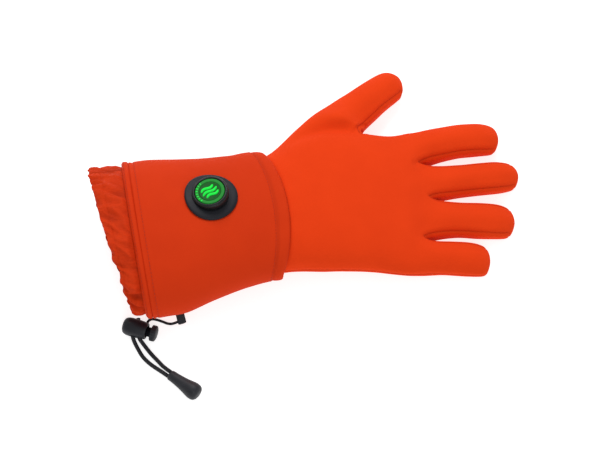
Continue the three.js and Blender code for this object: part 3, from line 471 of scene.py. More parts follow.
LEFT_ROUTE = [
    (-161.4, -95.5, 7.2), (-161.1, -99, 6.9), (-161, -103, 6.9), (-160.8, -107, 6.9),
    (-160, -110.4, 5.6), (-158.6, -113.4, 3), (-156.7, -116.8, 1.7), (-152.9, -123, 1.7),
    (-147.8, -128.2, 1.7), (-142.8, -132, 2), (-138.2, -135.4, 3), (-133.9, -138.7, 3.9),
]
RIGHT_ROUTE = [
    (-156.8, -95, 7.2), (-156.5, -99, 6.9), (-156.4, -103, 6.9), (-156.2, -107.4, 6.9),
    (-155.2, -110.6, 5.4), (-153.2, -113, 3.1), (-150.4, -116.4, 1.7), (-146, -121.8, 1.7),
    (-141, -127.1, 1.8), (-138.2, -130.2, 2.2), (-135.4, -132.8, 3), (-131.8, -135.8, 3.9),
]
RETAINING_ROUTE = [
    (-122.3, -96, 7.7), (-124.7, -96.9, 7.8), (-128, -98.2, 7.8), (-131.6, -98.5, 5.4),
    (-135.2, -97.4, 2.8), (-139.2, -95.4, 1.5), (-143.2, -94.2, 2), (-146.6, -94.4, 4.2),
    (-148.8, -96, 6), (-149.9, -97.8, 6.7),
]


def smooth_route(route, per_step=8):
    """Points along a centripetal curve through the route."""
    points = [Vector(p) for p in route]
    ends = [points[0] * 2 - points[1], *points, points[-1] * 2 - points[-2]]
    out = []
    for a, b, c, d in zip(ends, ends[1:], ends[2:], ends[3:]):
        t1 = (b - a).length ** 0.5
        t2 = t1 + (c - b).length ** 0.5
        t3 = t2 + (d - c).length ** 0.5
        for i in range(per_step):
            t = mix(t1, t2, i / per_step)
            p1 = a.lerp(b, t / t1)
            p2 = b.lerp(c, (t - t1) / (t2 - t1))
            p3 = c.lerp(d, (t - t2) / (t3 - t2))
            near = p1.lerp(p2, t / t2)
            far = p2.lerp(p3, (t - t1) / (t3 - t1))
            out.append(near.lerp(far, (t - t1) / (t2 - t1)))
    return [*out, points[-1]]


def tube_rings(path, radius, sides):
    """Rings round a path, each turned from the last by the least that it can be."""
    rings = []
    side = None
    for i, p in enumerate(path):
        ahead = (path[min(i + 1, len(path) - 1)] - path[max(i - 1, 0)]).normalized()
        side = ahead.orthogonal() if side is None else side - ahead * side.dot(ahead)
        side.normalize()
        up = ahead.cross(side)
        here = radius(i / (len(path) - 1)) if callable(radius) else radius
        rings.append(round_ring(sides, p, side, up, here))
    return rings


def dress(piece, material, slot, nodes, body="glove"):
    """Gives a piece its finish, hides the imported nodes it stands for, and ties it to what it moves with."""
    piece.data.materials.clear()
    piece.data.materials.append(material)
    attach(piece, body)
    if nodes:
        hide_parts(*nodes)
    return piece


def add_cord(name, route, diameter, material, node):
    path = smooth_route(route)
    cord = skin(name, tube_rings(path, diameter / 2, CORD_SIDES), caps=True)
    cord.data.materials.append(material)
    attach(cord, "glove")
    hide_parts(node)
    length = running_lengths(path)[-1]
    print(name, "is", round(length / MM, 1), "mm long")
    path[0] * MM
    [p * MM for p in path]


print("routes:", len(LEFT_ROUTE), len(RIGHT_ROUTE), len(RETAINING_ROUTE), "points")

# %% [markdown]
# The cuff is a tapered, padded tube that is wider at its mouth. Seven sections describe it, and a
# smooth curve runs through each column of the table, so that the padding shows no corners.

# %% Sections of the cuff
CUFF_LENGTH = 94.5
CUFF_WIDTH = 126
CUFF_HEIGHT = 62
CUFF_WALL = 3.5
RIM = CUFF_WALL * 0.35
CUFF_PEAK = 12
CUFF_PEAK_FROM = 0.55
CUFF_YAW = math.radians(10.5)
CUFF_END = -60
SETTLE = 2.5

# along is the share of the way from the mouth to the wrist. offset and width are shares of the
# mouth's width, and height is a share of its height.
CUFF_SECTIONS = [
    {"along": 0, "offset": -0.325, "width": 1, "height": 1},
    {"along": 0.16, "offset": -0.302, "width": 0.985, "height": 0.985},
    {"along": 0.35, "offset": -0.27, "width": 0.934, "height": 0.955},
    {"along": 0.55, "offset": -0.234, "width": 0.88, "height": 0.905},
    {"along": 0.76, "offset": -0.187, "width": 0.845, "height": 0.845},
    {"along": 0.9, "offset": -0.153, "width": 0.84, "height": 0.8},
    {"along": 1, "offset": -0.143, "width": 0.824, "height": 0.775},
]


def column(key):
    """A smooth curve through one column of the sections."""
    xs = [row["along"] for row in CUFF_SECTIONS]
    ys = [row[key] for row in CUFF_SECTIONS]
    slopes = [(b - a) / (d - c) for a, b, c, d in zip(ys, ys[1:], xs, xs[1:])]
    tangents = [slopes[0], *((a + b) / 2 for a, b in zip(slopes, slopes[1:])), slopes[-1]]

    def value(x):
        if x >= xs[-1]:
            return ys[-1] + slopes[-1] * (x - xs[-1])
        i = max(bisect_right(xs, x) - 1, 0)
        width = xs[i + 1] - xs[i]
        t = (x - xs[i]) / width
        start = (1 + 2 * t) * (1 - t) ** 2 * ys[i] + t * (1 - t) ** 2 * width * tangents[i]
        return start + t * t * (3 - 2 * t) * ys[i + 1] + t * t * (t - 1) * width * tangents[i + 1]

    return value


offset_at, width_at, height_at = column("offset"), column("width"), column("height")


def cuff_point(along, around, inset=0.0):
    """A place on the cuff. around is in degrees from the thumb's side over the top."""
    half = width_at(along) * CUFF_WIDTH / 2
    height = height_at(along) * CUFF_HEIGHT
    c, s = cos_sin(around)
    side = c * (half - inset)
    z = (height - SETTLE) / 2 + s * ((height + SETTLE) / 2 - inset)
    peak = CUFF_PEAK * max(s, 0) ** 1.5 * smooth_step(along, CUFF_PEAK_FROM, 1)
    x = CUFF_END + (along - 1) * CUFF_LENGTH - math.sin(CUFF_YAW) * side + peak
    y = offset_at(along) * CUFF_WIDTH + math.cos(CUFF_YAW) * side
    return Vector((x, y, max(z, inset, 0)))


print("cuff mouth from y", round(cuff_point(0, 180).y), "to", round(cuff_point(0, 0).y), "mm")

# %% [markdown]
# The hand is harder. On the real glove flat panels are sewn round the fingers with narrow strips
# between them, and the hand inside rounds them out. Here a coarse cage of four-sided faces does it:
# each cage point says where the smooth surface should pass, a few rounds of correction move the cage
# until it does, and a Subdivision Surface modifier then rounds it. Every face knows its panel.

# %% The cage: palm
PALM_LENGTH = 120
PALM_WIDTH = 120
PALM_HEIGHT = 41
FINGER_LENGTH = 72
FINGER_WIDTH = 28.4
FINGER_HEIGHT = 22.5
HAND_WALL = 1.5
SLEEVE_GAP = 0.8
SLEEVE_INSET = CUFF_WALL + SLEEVE_GAP
SLEEVE_LENGTH = 13
SLEEVE_MOUTH = 1.012

# The columns' places across the finger roots, from the index side to the little side.
KNUCKLES = [0, 0.035, 0.118, 0.248, 0.376, 0.492, 0.63, 0.766, 0.888, 0.972, 1]
COLUMNS = 20
LITTLE_SIDE = 10

PALM_ROWS = [
    dict(row="heel", along=0.145, thumb=0.39, little=-0.512, crown=1, lean=-0.05, bow=0.11,
         spread=0.15),
    dict(row="thenar", along=0.36, thumb=0.46, little=-0.512, crown=1, lean=-0.01, bow=0.05,
         spread=0.4),
    dict(row="crotch", along=0.582, thumb=0.443, little=-0.512, crown=0.94, lean=0, bow=0, spread=0.7),
    dict(row="hollow", along=0.735, thumb=0.425, little=-0.518, crown=0.84, lean=0, bow=0, spread=0.9),
    dict(row="knuckle", along=0.86, thumb=0.456, little=-0.522, crown=0.72, lean=0, bow=0.02, spread=1),
]
SLEEVE_ROWS = [("sleeve_end", 1 - SLEEVE_LENGTH / CUFF_LENGTH), ("sleeve_mouth", SLEEVE_MOUTH)]
SECTION_POWER = 2.3

numbers = {}
targets = []
cage_faces = []


def cage_point(name, target):
    numbers[name] = len(targets)
    targets.append(Vector(target))


def cage_face(panel, names):
    cage_faces.append((panel, [numbers[name] for name in names]))


def profile(u):
    return max(1 - abs(u) ** SECTION_POWER, 0) ** (1 / SECTION_POWER)


def palm_point(row, number):
    over = number <= LITTLE_SIDE
    step = number if over else COLUMNS - number
    even = (1 - math.cos(math.pi * step / LITTLE_SIDE)) / 2
    share = mix(even, KNUCKLES[step], row["spread"])
    u = 1 - 2 * share
    top = row["crown"] * PALM_HEIGHT
    stand = profile(u) * (1 if over else -1)
    bow = row["bow"] * profile(u) if over else 0
    x = (row["along"] - 0.5 + row["lean"] * u + bow) * PALM_LENGTH
    y = mix(row["thumb"], row["little"], share) * PALM_WIDTH
    return (x, y, (top - SETTLE) / 2 + stand * (top + SETTLE) / 2)


def build_palm():
    for name, along in SLEEVE_ROWS:
        for number in range(COLUMNS):
            cage_point(f"{name}_{number}", cuff_point(along, 360 * number / COLUMNS, SLEEVE_INSET))
    for row in PALM_ROWS:
        for number in range(COLUMNS):
            if (row["row"], number) != ("thenar", 0):
                cage_point(f"{row['row']}_{number}", palm_point(row, number))
    rows = [name for name, along in SLEEVE_ROWS] + [row["row"] for row in PALM_ROWS]
    for a, b in zip(rows, rows[1:]):
        for number in range(COLUMNS):
            after = (number + 1) % COLUMNS
            if a in ("heel", "thenar") and 0 in (number, after):
                continue
            panel = "back" if number < LITTLE_SIDE else "palm"
            panel = "sleeve" if a == "sleeve_end" else panel
            cage_face(panel, [f"{a}_{number}", f"{a}_{after}", f"{b}_{after}", f"{b}_{number}"])


build_palm()
print("palm:", len(targets), "points,", len(cage_faces), "faces")

# %% [markdown]
# A finger is a tube of eight-sided rings along a line that may bend, closed by four faces at its tip.
# Its first ring is made of the points at the finger's root, and two fingers share the points of the
# web between them. The thumb is built the same way, out of an eight-sided hole in the palm's side.

# %% The cage: fingers and thumb
FINGERS = [
    dict(finger="index", root=(0.485, 0.364), turn=20, bend=-22, reach=0.825, girth=0.97),
    dict(finger="middle", root=(0.5, 0.105), turn=8, bend=0, reach=0.985, girth=0.93),
    dict(finger="ring", root=(0.5, -0.14), turn=1, bend=-4, reach=0.905, girth=1.01),
    dict(finger="little", root=(0.48, -0.398), turn=-2, bend=0, reach=0.665, girth=0.95),
]
FINGER_RINGS = [
    {"along": 0.26, "wide": 0.95, "high": 0.98},
    {"along": 0.52, "wide": 0.95, "high": 0.92},
    {"along": 0.77, "wide": 0.93, "high": 0.83},
    {"along": 0.93, "wide": 0.74, "high": 0.66},
]
CROTCHES = [(0.462, 0.228), (0.522, -0.012), (0.482, -0.288)]
RING_ANGLES = [0, 32, 90, 148, 180, 220, 270, 320]
TIP_SHARE = 0.38
BEND_STEPS = 8
ROOT_HEIGHT = 1.04
WEB_BACK = 3
WEB_TOP = 0.93
WEB_FOOT = 0.07

THUMB_LENGTH = 53
THUMB_WIDTH = 33
THUMB_HEIGHT = 28
THUMB_HEADING = 42.5
THUMB_START = Vector((0.018 * PALM_LENGTH, 0.6 * PALM_WIDTH, 0))
THUMB_RINGS = [
    {"along": -0.297, "aside": 0, "turn": 31, "wide": 1.3, "high": 1.2},
    {"along": 0, "aside": 0, "turn": 2, "wide": 1.03, "high": 1},
    {"along": 0.3, "aside": 0, "turn": 0, "wide": 0.94, "high": 0.93},
    {"along": 0.58, "aside": 0, "turn": -2, "wide": 0.87, "high": 0.84},
    {"along": 0.84, "aside": -0.01, "turn": -4, "wide": 0.75, "high": 0.7},
]


def squarer(value):
    return math.copysign(abs(value) ** 0.92, value)


def oval_point(middle, turn, half, high, angle):
    c, s = cos_sin(angle)
    place = middle + heading(turn + 90) * (squarer(c) * half)
    place.z = (high - SETTLE / 2) / 2 + squarer(s) * (high + SETTLE / 2) / 2
    return place


def finger_middle(finger, along):
    """The middle of a finger this share of the way out, and the way that it heads there."""
    length = finger["reach"] * FINGER_LENGTH
    middle = Vector((finger["root"][0] * PALM_LENGTH, finger["root"][1] * PALM_WIDTH, 0))
    for i in range(BEND_STEPS):
        turn = finger["turn"] + finger["bend"] * along * (i + 0.5) / BEND_STEPS
        middle += heading(turn) * (length * along / BEND_STEPS)
    return middle, finger["turn"] + finger["bend"] * along


def web_edge(crotch, share):
    """The point just before a web, at this share of the finger's height."""
    return (crotch[0] * PALM_LENGTH - WEB_BACK, crotch[1] * PALM_WIDTH, FINGER_HEIGHT * share)


def root_point(number):
    over = number <= LITTLE_SIDE
    step = number if over else COLUMNS - number
    if step % 2 == 1 and 1 < step < LITTLE_SIDE - 1:
        return web_edge(CROTCHES[(step - 3) // 2], WEB_TOP if over else WEB_FOOT)
    finger = FINGERS[min(max((step - 1) // 2, 0), 3)]
    angle = {0: 0, 1: RING_ANGLES[1], LITTLE_SIDE - 1: RING_ANGLES[3], LITTLE_SIDE: 180}.get(step, 90)
    middle, turn = finger_middle(finger, 0)
    half = finger["girth"] * FINGER_WIDTH / 2
    return oval_point(middle, turn, half, FINGER_HEIGHT * ROOT_HEIGHT, angle if over else -angle)


def finger_root(f):
    near = "root_0" if f == 0 else f"web_{f - 1}"
    far = f"root_{LITTLE_SIDE}" if f == 3 else f"web_{f}"
    back = [f"root_{2 * f + k}" for k in (1, 2, 3)]
    under = [f"root_{COLUMNS - 2 * f - k}" for k in (3, 2, 1)]
    return [near, *back, far, *under]


def finger_panel(f, j):
    if j in (7, 0) and f > 0:
        return f"strip_{f - 1}"
    if j in (3, 4) and f < 3:
        return f"strip_{f}"
    return "back" if j < 4 else "palm"


def tube_faces(rings, tip, panel_of):
    for near, far in zip(rings, rings[1:]):
        for j in range(8):
            k = (j + 1) % 8
            cage_face(panel_of(j), [near[j], near[k], far[k], far[j]])
    last = rings[-1]
    for j in (0, 2, 4, 6):
        cage_face("back" if j < 4 else "palm", [last[j], last[j + 1], last[(j + 2) % 8], tip])


def cage_ring(name, middle, turn, half, high):
    for j, angle in enumerate(RING_ANGLES):
        cage_point(f"{name}_{j}", oval_point(middle, turn, half, high, angle))
    return [f"{name}_{j}" for j in range(8)]


def build_fingers():
    for number in range(COLUMNS):
        cage_point(f"root_{number}", root_point(number))
    for f, (x, y) in enumerate(CROTCHES):
        cage_point(f"web_{f}", (x * PALM_LENGTH, y * PALM_WIDTH, FINGER_HEIGHT / 2))
    for number in range(COLUMNS):
        after = (number + 1) % COLUMNS
        names = [f"knuckle_{number}", f"knuckle_{after}", f"root_{after}", f"root_{number}"]
        cage_face("back" if number < LITTLE_SIDE else "palm", names)
    for f, finger in enumerate(FINGERS):
        half = finger["girth"] * FINGER_WIDTH / 2
        rings = [finger_root(f)]
        for k, row in enumerate(FINGER_RINGS):
            middle, turn = finger_middle(finger, row["along"])
            name, high = f"{finger['finger']}_{k}", FINGER_HEIGHT * row["high"]
            rings.append(cage_ring(name, middle, turn, half * row["wide"], high))
        tip = finger_middle(finger, 1)[0]
        tip.z = FINGER_HEIGHT * TIP_SHARE
        cage_point(f"{finger['finger']}_tip", tip)
        tube_faces(rings, f"{finger['finger']}_tip", lambda j: finger_panel(f, j))


def build_thumb():
    ahead, aside = heading(THUMB_HEADING), heading(THUMB_HEADING + 90)
    hole = ["heel_0", "heel_1", "thenar_1", "crotch_1", "crotch_0", "crotch_19", "thenar_19", "heel_19"]
    rings = [hole]
    for k, row in enumerate(THUMB_RINGS):
        middle = THUMB_START + ahead * (row["along"] * THUMB_LENGTH)
        middle += aside * (row["aside"] * THUMB_LENGTH)
        half, high = THUMB_WIDTH / 2 * row["wide"], THUMB_HEIGHT * row["high"]
        rings.append(cage_ring(f"thumb_{k}", middle, THUMB_HEADING + row["turn"], half, high))
    tip = THUMB_START + ahead * THUMB_LENGTH
    tip.z = THUMB_HEIGHT * TIP_SHARE * 0.9
    cage_point("thumb_tip", tip)
    tube_faces(rings, "thumb_tip", lambda j: "back" if j < 3 else "thumb_strip" if j < 5 else "palm")


build_fingers()
build_thumb()
print("cage:", len(targets), "points,", len(cage_faces), "faces")

# %% [markdown]
# Subdivision pulls every point towards its neighbours, so the cage has to overshoot. For a given
# cage the final place of each point is known from its neighbours alone. The loop compares that place
# with the target, moves the cage by the difference, and repeats.

# %% The cage fitted and rounded
CAGE_ROUNDS = 12


def fitted_cage():
    edges = [set() for p in targets]
    corners = [[] for p in targets]
    sides = {}
    for panel, loop in cage_faces:
        for i, a in enumerate(loop):
            b = loop[(i + 1) % 4]
            edges[a].add(b)
            edges[b].add(a)
            corners[a].append(loop[(i + 2) % 4])
            sides[frozenset((a, b))] = sides.get(frozenset((a, b)), 0) + 1
    rims = [[b for b in edges[a] if sides[frozenset((a, b))] == 1] for a in range(len(targets))]

    def settled(points, a):
        if rims[a]:
            beside = sum((points[b] for b in rims[a]), Vector())
            return points[a] * (2 / 3) + beside / (3 * len(rims[a]))
        n = len(edges[a])
        total = points[a] * n * n + 4 * sum((points[b] for b in edges[a]), Vector())
        return (total + sum((points[b] for b in corners[a]), Vector())) / (n * (n + 5))

    points = [p.copy() for p in targets]
    for _ in range(CAGE_ROUNDS):
        points = [p + targets[a] - settled(points, a) for a, p in enumerate(points)]
    return points


PANELS = ["back", "palm", "sleeve", "strip_0", "strip_1", "strip_2", "thumb_strip"]


def rounded_hand(levels):
    """The hand's outer face as arrays: places in millimetres, normals, faces and the faces' panels."""
    mesh = bpy.data.meshes.new("cage")
    mesh.from_pydata([p * MM for p in fitted_cage()], [], [loop for panel, loop in cage_faces])
    mesh.polygons.foreach_set("material_index", [PANELS.index(panel) for panel, loop in cage_faces])
    for _ in PANELS:
        mesh.materials.append(None)
    cage = link("cage", mesh)
    rounding = cage.modifiers.new("rounding", "SUBSURF")
    rounding.levels = levels
    fine = as_shown(cage)

    def read(items, key, width, kind=float):
        values = np.empty(len(items) * width, dtype=kind)
        items.foreach_get(key, values)
        return values.reshape(-1, width)

    places = read(fine.vertices, "co", 3) / MM
    normals = read(fine.vertices, "normal", 3)
    loops = read(fine.polygons, "vertices", 4, int)
    panels = read(fine.polygons, "material_index", 1, int)[:, 0]
    bpy.data.objects.remove(cage)
    bpy.data.meshes.remove(fine)
    return places, normals, loops, panels


places, normals, loops, panels = rounded_hand(levels=4)
print("hand:", len(places), "points,", len(loops), "faces")

# %% [markdown]
# Two things make it cloth. Along each seam the two panels are sewn face to face, so the surface sinks
# into a narrow groove and puffs up beside it. And the shell is not tight: broad, shallow swells lie
# over it, with a sharper fold at the thumb's root and another at the first knuckles. The hollows
# between the fingers are filled a little, and the thumb lies slimmer than its cage.

# %% Seams and folds
SEAM_DEPTH = 0.36
SEAM_WIDTH = 0.7
SEAM_PUFF = 0.25
HAND_SWELLS = ((0.5, 34), (0.22, 13))
FILL_HEIGHT = 1.1
FILL_WIDTH = 6.5
SLACK_DEPTH = 1.1
THUMB_ROOT = -26
FOLDS = [
    dict(name="thumb root", line=[(2, 49), (7, 55), (13, 60)], depth=0.5, width=0.9),
    dict(name="first knuckles", line=[(50, 24), (53, 27), (57, 29)], depth=0.4, width=1.6),
]
FINGER_TIPS = [targets[numbers[f"{row['finger']}_tip"]] for row in FINGERS]


def seam_points():
    owners = {}
    for loop, panel in zip(loops.tolist(), panels.tolist()):
        for a in loop:
            owners.setdefault(a, set()).add(panel)
    return [a for a, mine in owners.items() if len(mine) > 1]


def swells(place, rows):
    """Loose cloth: every row is the height of some swells and their size, in millimetres."""
    return sum(height * noise.noise(place / size) for height, size in rows)


def near_line(x, y, line):
    """How far a point lies from a chain of straight lines."""
    best = 1e9
    for (x1, y1), (x2, y2) in zip(line, line[1:]):
        dx, dy = x2 - x1, y2 - y1
        t = min(max(((x - x1) * dx + (y - y1) * dy) / (dx * dx + dy * dy), 0), 1)
        best = min(best, math.hypot(x - x1 - dx * t, y - y1 - dy * t))
    return best


def tip_fade(place):
    """0 at a fingertip, where the sewn strip runs out, and 1 away from it."""
    return min(smooth_step((place - tip).length, 5, 15) for tip in FINGER_TIPS)


def crotch_fill(place):
    """1 in the hollow between two fingers, where the strips meet the palm."""
    webs = (Vector(web_edge(crotch, WEB_TOP)) for crotch in CROTCHES)
    return max(bump_at((place - web).length, 0, FILL_WIDTH) for web in webs)


def slack(place):
    """Where the thumb lies slimmer than its cage: 1 along it, and more in the dip at its root."""
    along = (place - THUMB_START).dot(heading(THUMB_HEADING))
    aside = (place - THUMB_START).dot(heading(THUMB_HEADING + 90))
    slim = smooth_step(along, THUMB_ROOT, THUMB_ROOT + 18) * smooth_step(aside, -30, -8)
    return slim + bump_at(along, THUMB_ROOT, 17) * smooth_step(aside, -6, 8)


def shape_cloth():
    seams = seam_points()
    tree = KDTree(len(seams))
    for i, a in enumerate(seams):
        tree.insert(places[a], i)
    tree.balance()
    shade = np.zeros(len(places))
    for a, (p, n) in enumerate(zip(places.tolist(), normals.tolist())):
        place, gap = Vector(p), tree.find(p)[2]
        sewn = tip_fade(place)
        lift = swells(place, HAND_SWELLS) - 0.2
        lift += sewn * (SEAM_PUFF * bump_at(gap, 3.2, 2) - SEAM_DEPTH * bump_at(gap, 0, SEAM_WIDTH))
        lift += FILL_HEIGHT * crotch_fill(place) - SLACK_DEPTH * slack(place)
        if n[2] > 0.2:
            for fold in FOLDS:
                away, width = near_line(p[0], p[1], fold["line"]), fold["width"]
                crease = 0.5 * bump_at(away, 2.6 * width, width) - bump_at(away, 0, width)
                lift += fold["depth"] * crease
        # How much painted shade the seam's groove gets in the colour.
        shade[a] = sewn * bump_at(gap, 0, 1.0)
        places[a] += np.array(n) * lift
    places[:, 2] = np.maximum(places[:, 2], 0)
    return shade


seam_shade = shape_cloth()
print("points on a seam:", int((seam_shade > 0.5).sum()))
print("folds:", [fold["name"] for fold in FOLDS])

# %% [markdown]
# Each panel becomes an object of its own with a real thickness: the outer face, the same face moved
# 1.5 mm inwards and turned over, and a rim that joins them round the edge. The neighbours share their
# outline exactly, so that no light comes through the seams.

# %% Panels with a thickness
def hand_panel(name, which, nodes):
    mine = loops[panels == PANELS.index(which)]
    used = np.unique(mine)
    place = np.full(len(places), -1)
    place[used] = np.arange(len(used))
    outer = places[used]
    inner = outer - normals[used] * HAND_WALL
    inner[:, 2] = np.maximum(inner[:, 2], HAND_WALL)
    front = place[mine]
    count = len(used)
    sides = {}
    for loop in front.tolist():
        for i, a in enumerate(loop):
            b = loop[(i + 1) % 4]
            if sides.pop((b, a), None) is None:
                sides[(a, b)] = True
    rim = [(b, a, a + count, b + count) for a, b in sides]
    faces = front.tolist() + (front[:, ::-1] + count).tolist() + rim
    mesh = bpy.data.meshes.new(name)
    mesh.from_pydata((np.concatenate([outer, inner]) * MM).tolist(), [], faces)
    mesh.shade_smooth()
    piece = link(name, mesh)
    # The seam attribute carries the painted seam shade into the fleece.
    mark_points(piece, "seam", np.concatenate([seam_shade[used], np.zeros(count)]))
    print(name, "has", len(faces), "faces")
    dress(piece, FLEECE, "hand_fleece", nodes)


HAND_PANELS = [
    {"name": "hand_back", "panel": "back", "nodes": ["back_panel", "thumb_back"]},
    {"name": "hand_palm", "panel": "palm", "nodes": ["palm_panel", "thumb_palm"]},
    {"name": "sleeve_in_cuff", "panel": "sleeve", "nodes": ["wrist_sleeve"]},
    {"name": "strip_index_middle", "panel": "strip_0", "nodes": ["fourchette_index_middle"]},
    {"name": "strip_middle_ring", "panel": "strip_1", "nodes": ["fourchette_middle_ring"]},
    {"name": "strip_ring_little", "panel": "strip_2", "nodes": ["fourchette_ring_little"]},
    {"name": "strip_thumb", "panel": "thumb_strip", "nodes": ["thumb_gusset"]},
]
for row in HAND_PANELS:
    hand_panel(row["name"], row["panel"], row["nodes"])

# %% [markdown]
# The cuff has foam between two layers of knit, so it stays round and smooth. Where it meets the hand
# its edge is turned over and stitched down: a rolled band about 7 mm wide with a groove before it. The
# side seam runs along the underside, from the wrist to the middle of the cuff.

# %% The cuff
CUFF_SIDES = 180
CUFF_ROWS = 90
CUFF_SWELLS = ((0.7, 38), (0.25, 14))
BAND_START = 0.925
BAND_MIDDLE = 0.975
SIDE_SEAM = 203
SIDE_SEAM_FADE = (0.3, 0.45)
MM_A_DEGREE = 0.9


def cuff_stand(along, turn):
    """How far the cloth stands out from the plain tube."""
    lift = swells(cuff_point(along, turn), CUFF_SWELLS)
    lift += 0.5 * bump_at(along, BAND_MIDDLE, 0.03) - 0.45 * bump_at(along, BAND_START, 0.009)
    sag = bump_at(along, 0.28, 0.13) * bump_at(turn, 205, 40)
    lift += 1.9 * sag - 0.7 * bump_at(along, 0.02, 0.012)
    away = (turn - SIDE_SEAM) * MM_A_DEGREE
    sewn = 0.5 * bump_at(away, 4, 2.5) - 0.9 * bump_at(away, 0, 1.1)
    return lift + smooth_step(along, *SIDE_SEAM_FADE) * sewn


def build_cuff():
    alongs = [i / CUFF_ROWS for i in range(CUFF_ROWS + 1)]
    outside = [circle(CUFF_SIDES, lambda turn: cuff_point(a, turn, -cuff_stand(a, turn)))
               for a in alongs]
    inside = [circle(CUFF_SIDES, lambda turn: cuff_point(a, turn, CUFF_WALL)) for a in alongs[::3]]

    def rim(along, out):
        shift = Vector((out * RIM, 0, 0))
        return [circle(CUFF_SIDES, lambda turn: cuff_point(along, turn, CUFF_WALL * deep) + shift * far)
                for deep, far in ((0.15, 0.55), (0.5, 1), (0.85, 0.55))]

    rings = [*outside, *rim(1, 1), *inside[::-1], *rim(0, -1)[::-1]]
    cuff = dress(skin("padded_cuff", rings, round_again=True), PADDING, "cuff_padding", ["cuff"])
    # Painted shade in the colour: the groove before the rolled band and the side seam get darker.
    shade = [0.0] * len(cuff.data.vertices)
    for i, along in enumerate(alongs):
        for j in range(CUFF_SIDES):
            away = (360 * j / CUFF_SIDES - SIDE_SEAM) * MM_A_DEGREE
            sewn = smooth_step(along, *SIDE_SEAM_FADE) * bump_at(away, 0, 1.6)
            shade[i * CUFF_SIDES + j] = min(0.35 * bump_at(along, BAND_START, 0.01) + sewn, 1)
    mark_points(cuff, "seam", shade)
    print("cuff faces:", len(cuff.data.polygons))


build_cuff()

# %% [markdown]
# The hem is thin woven nylon, gathered by the drawcord. Gathering gives irregular folds that run
# along the glove and fade towards the binding, where the cloth is sewn flat. Noise on a circle gives
# folds that close on themselves: sampling it slowly along the axis stretches them into ridges.

# %% The hem
HEM_START = 4.6
HEM_END = 29.4
HEM_REACH = 28.5
HEM_ROWS = 44
HEM_SIDES = 360
HEM_WALL = 1.2
HEM_TUCK = 0.06
HEM_NARROWING = 0.53
HEM_SIDESTEP = 4
HEM_UNEVEN = 2.2
GATHER_HEIGHT = 3.1
CASING_START = 21.4
BINDING_START = -0.4
BINDING_END = 4.9
BINDING_ROWS = 13
BINDING_WALL = 2


def hem_point(beyond, around, inset):
    """A place past the cuff's mouth."""
    mouth = cuff_point(0, around, inset)
    share = beyond / HEM_REACH
    tuck = 1 - HEM_TUCK * share
    edge = heading(around)
    little_side = (1 - math.cos(math.radians(around))) / 2
    reach = beyond * (1 - HEM_NARROWING * little_side ** 2 * share)
    reach += share * (2.6 * bump_at(around, 168, 34) - 4 * bump_at(around, 240, 42))
    reach += HEM_UNEVEN * share ** 3 * noise.noise(edge * 7)
    y = offset_at(0) * CUFF_WIDTH - HEM_SIDESTEP * share
    z = CUFF_HEIGHT / 2 + (mouth.z - CUFF_HEIGHT / 2) * tuck
    return Vector((mouth.x - RIM - reach, y + (mouth.y - y) * tuck, max(z, inset, 0)))


def wrinkle(beyond, turn):
    """The gathers: over 0 on a ridge, and under 0 in a valley."""
    around = heading(turn + 0.35 * beyond)
    broad = noise.noise(around * 3.6 + Vector((0, 0, beyond * 0.03)))
    fine = noise.noise(around * 8.5 + Vector((5, 0, beyond * 0.06)))
    creases = 1 - 2 * abs(noise.noise(around * 6 + Vector((0, 7, beyond * 0.04))))
    return 1.1 * broad + 0.7 * fine + 0.7 * creases - 0.35


def hem_skin(name, rows, wall, stand):
    """A closed band. rows are distances and insets, and stand is how far the cloth stands out."""
    def rings(deep, rows):
        def place(beyond, inset, turn):
            lift = stand(beyond, turn) * (1 - 0.3 * deep)
            return hem_point(beyond, turn, inset + deep * wall - lift)

        return [circle(HEM_SIDES, lambda turn: place(b, i, turn)) for b, i in rows]

    return skin(name, [*rings(1, rows), *rings(0, rows[::-1])], round_again=True)


def arch(start, end, low, high, rows):
    """Rows from start to end whose inset is low in the middle and high at both ends."""
    steps = [i / (rows - 1) for i in range(rows)]
    return [(mix(start, end, t), mix(low, high, abs(2 * t - 1) ** 3)) for t in steps]


def hem_stand(beyond, turn):
    grow = smooth_step(beyond, HEM_START - 1, HEM_START + 6)
    stitched = 0.5 * bump_at(beyond, CASING_START, 0.8)
    notch = 1.6 * bump_at(beyond, HEM_START, 3.5)
    lie = 2.2 * bump_at(turn, 22, 40) * smooth_step(beyond, 0, 12)
    return GATHER_HEIGHT * grow * wrinkle(beyond, turn) - stitched - notch - lie - 0.5


def build_hem():
    rows = arch(BINDING_START, BINDING_END, 0, 1.6, BINDING_ROWS)
    binding = hem_skin("binding_band", rows, BINDING_WALL, lambda beyond, turn: 0.3)
    dress(binding, PADDING, "cuff_padding", ["cuff_binding"])
    rows = arch(HEM_START, HEM_END, 0, 0.9, HEM_ROWS)
    hem = hem_skin("gathered_hem", rows, HEM_WALL, hem_stand)
    dress(hem, NYLON, "hem_nylon", ["hem_ruffle", "drawcord_casing"])
    # Marks the valleys between the gathers, for their painted shade in the nylon.
    valleys = [[smooth_step(-wrinkle(beyond, turn), -0.1, 0.9) for turn in range(HEM_SIDES)]
               for beyond, _ in rows]
    mark_points(hem, "valley", sum(valleys + valleys[::-1], []))
    area = sum(face.area for face in hem.data.polygons) / 2
    print("hem cloth:", round(area * 1e4), "square centimetres a side")


build_hem()

# %% [markdown]
# The power button is a plastic cap on a moulded rubber flange. The flange follows the cuff, so every
# ring of it is laid on the cuff's skin and lifted, while the cap above stays flat and round. The lens
# shows a plain heat mark of three waves.

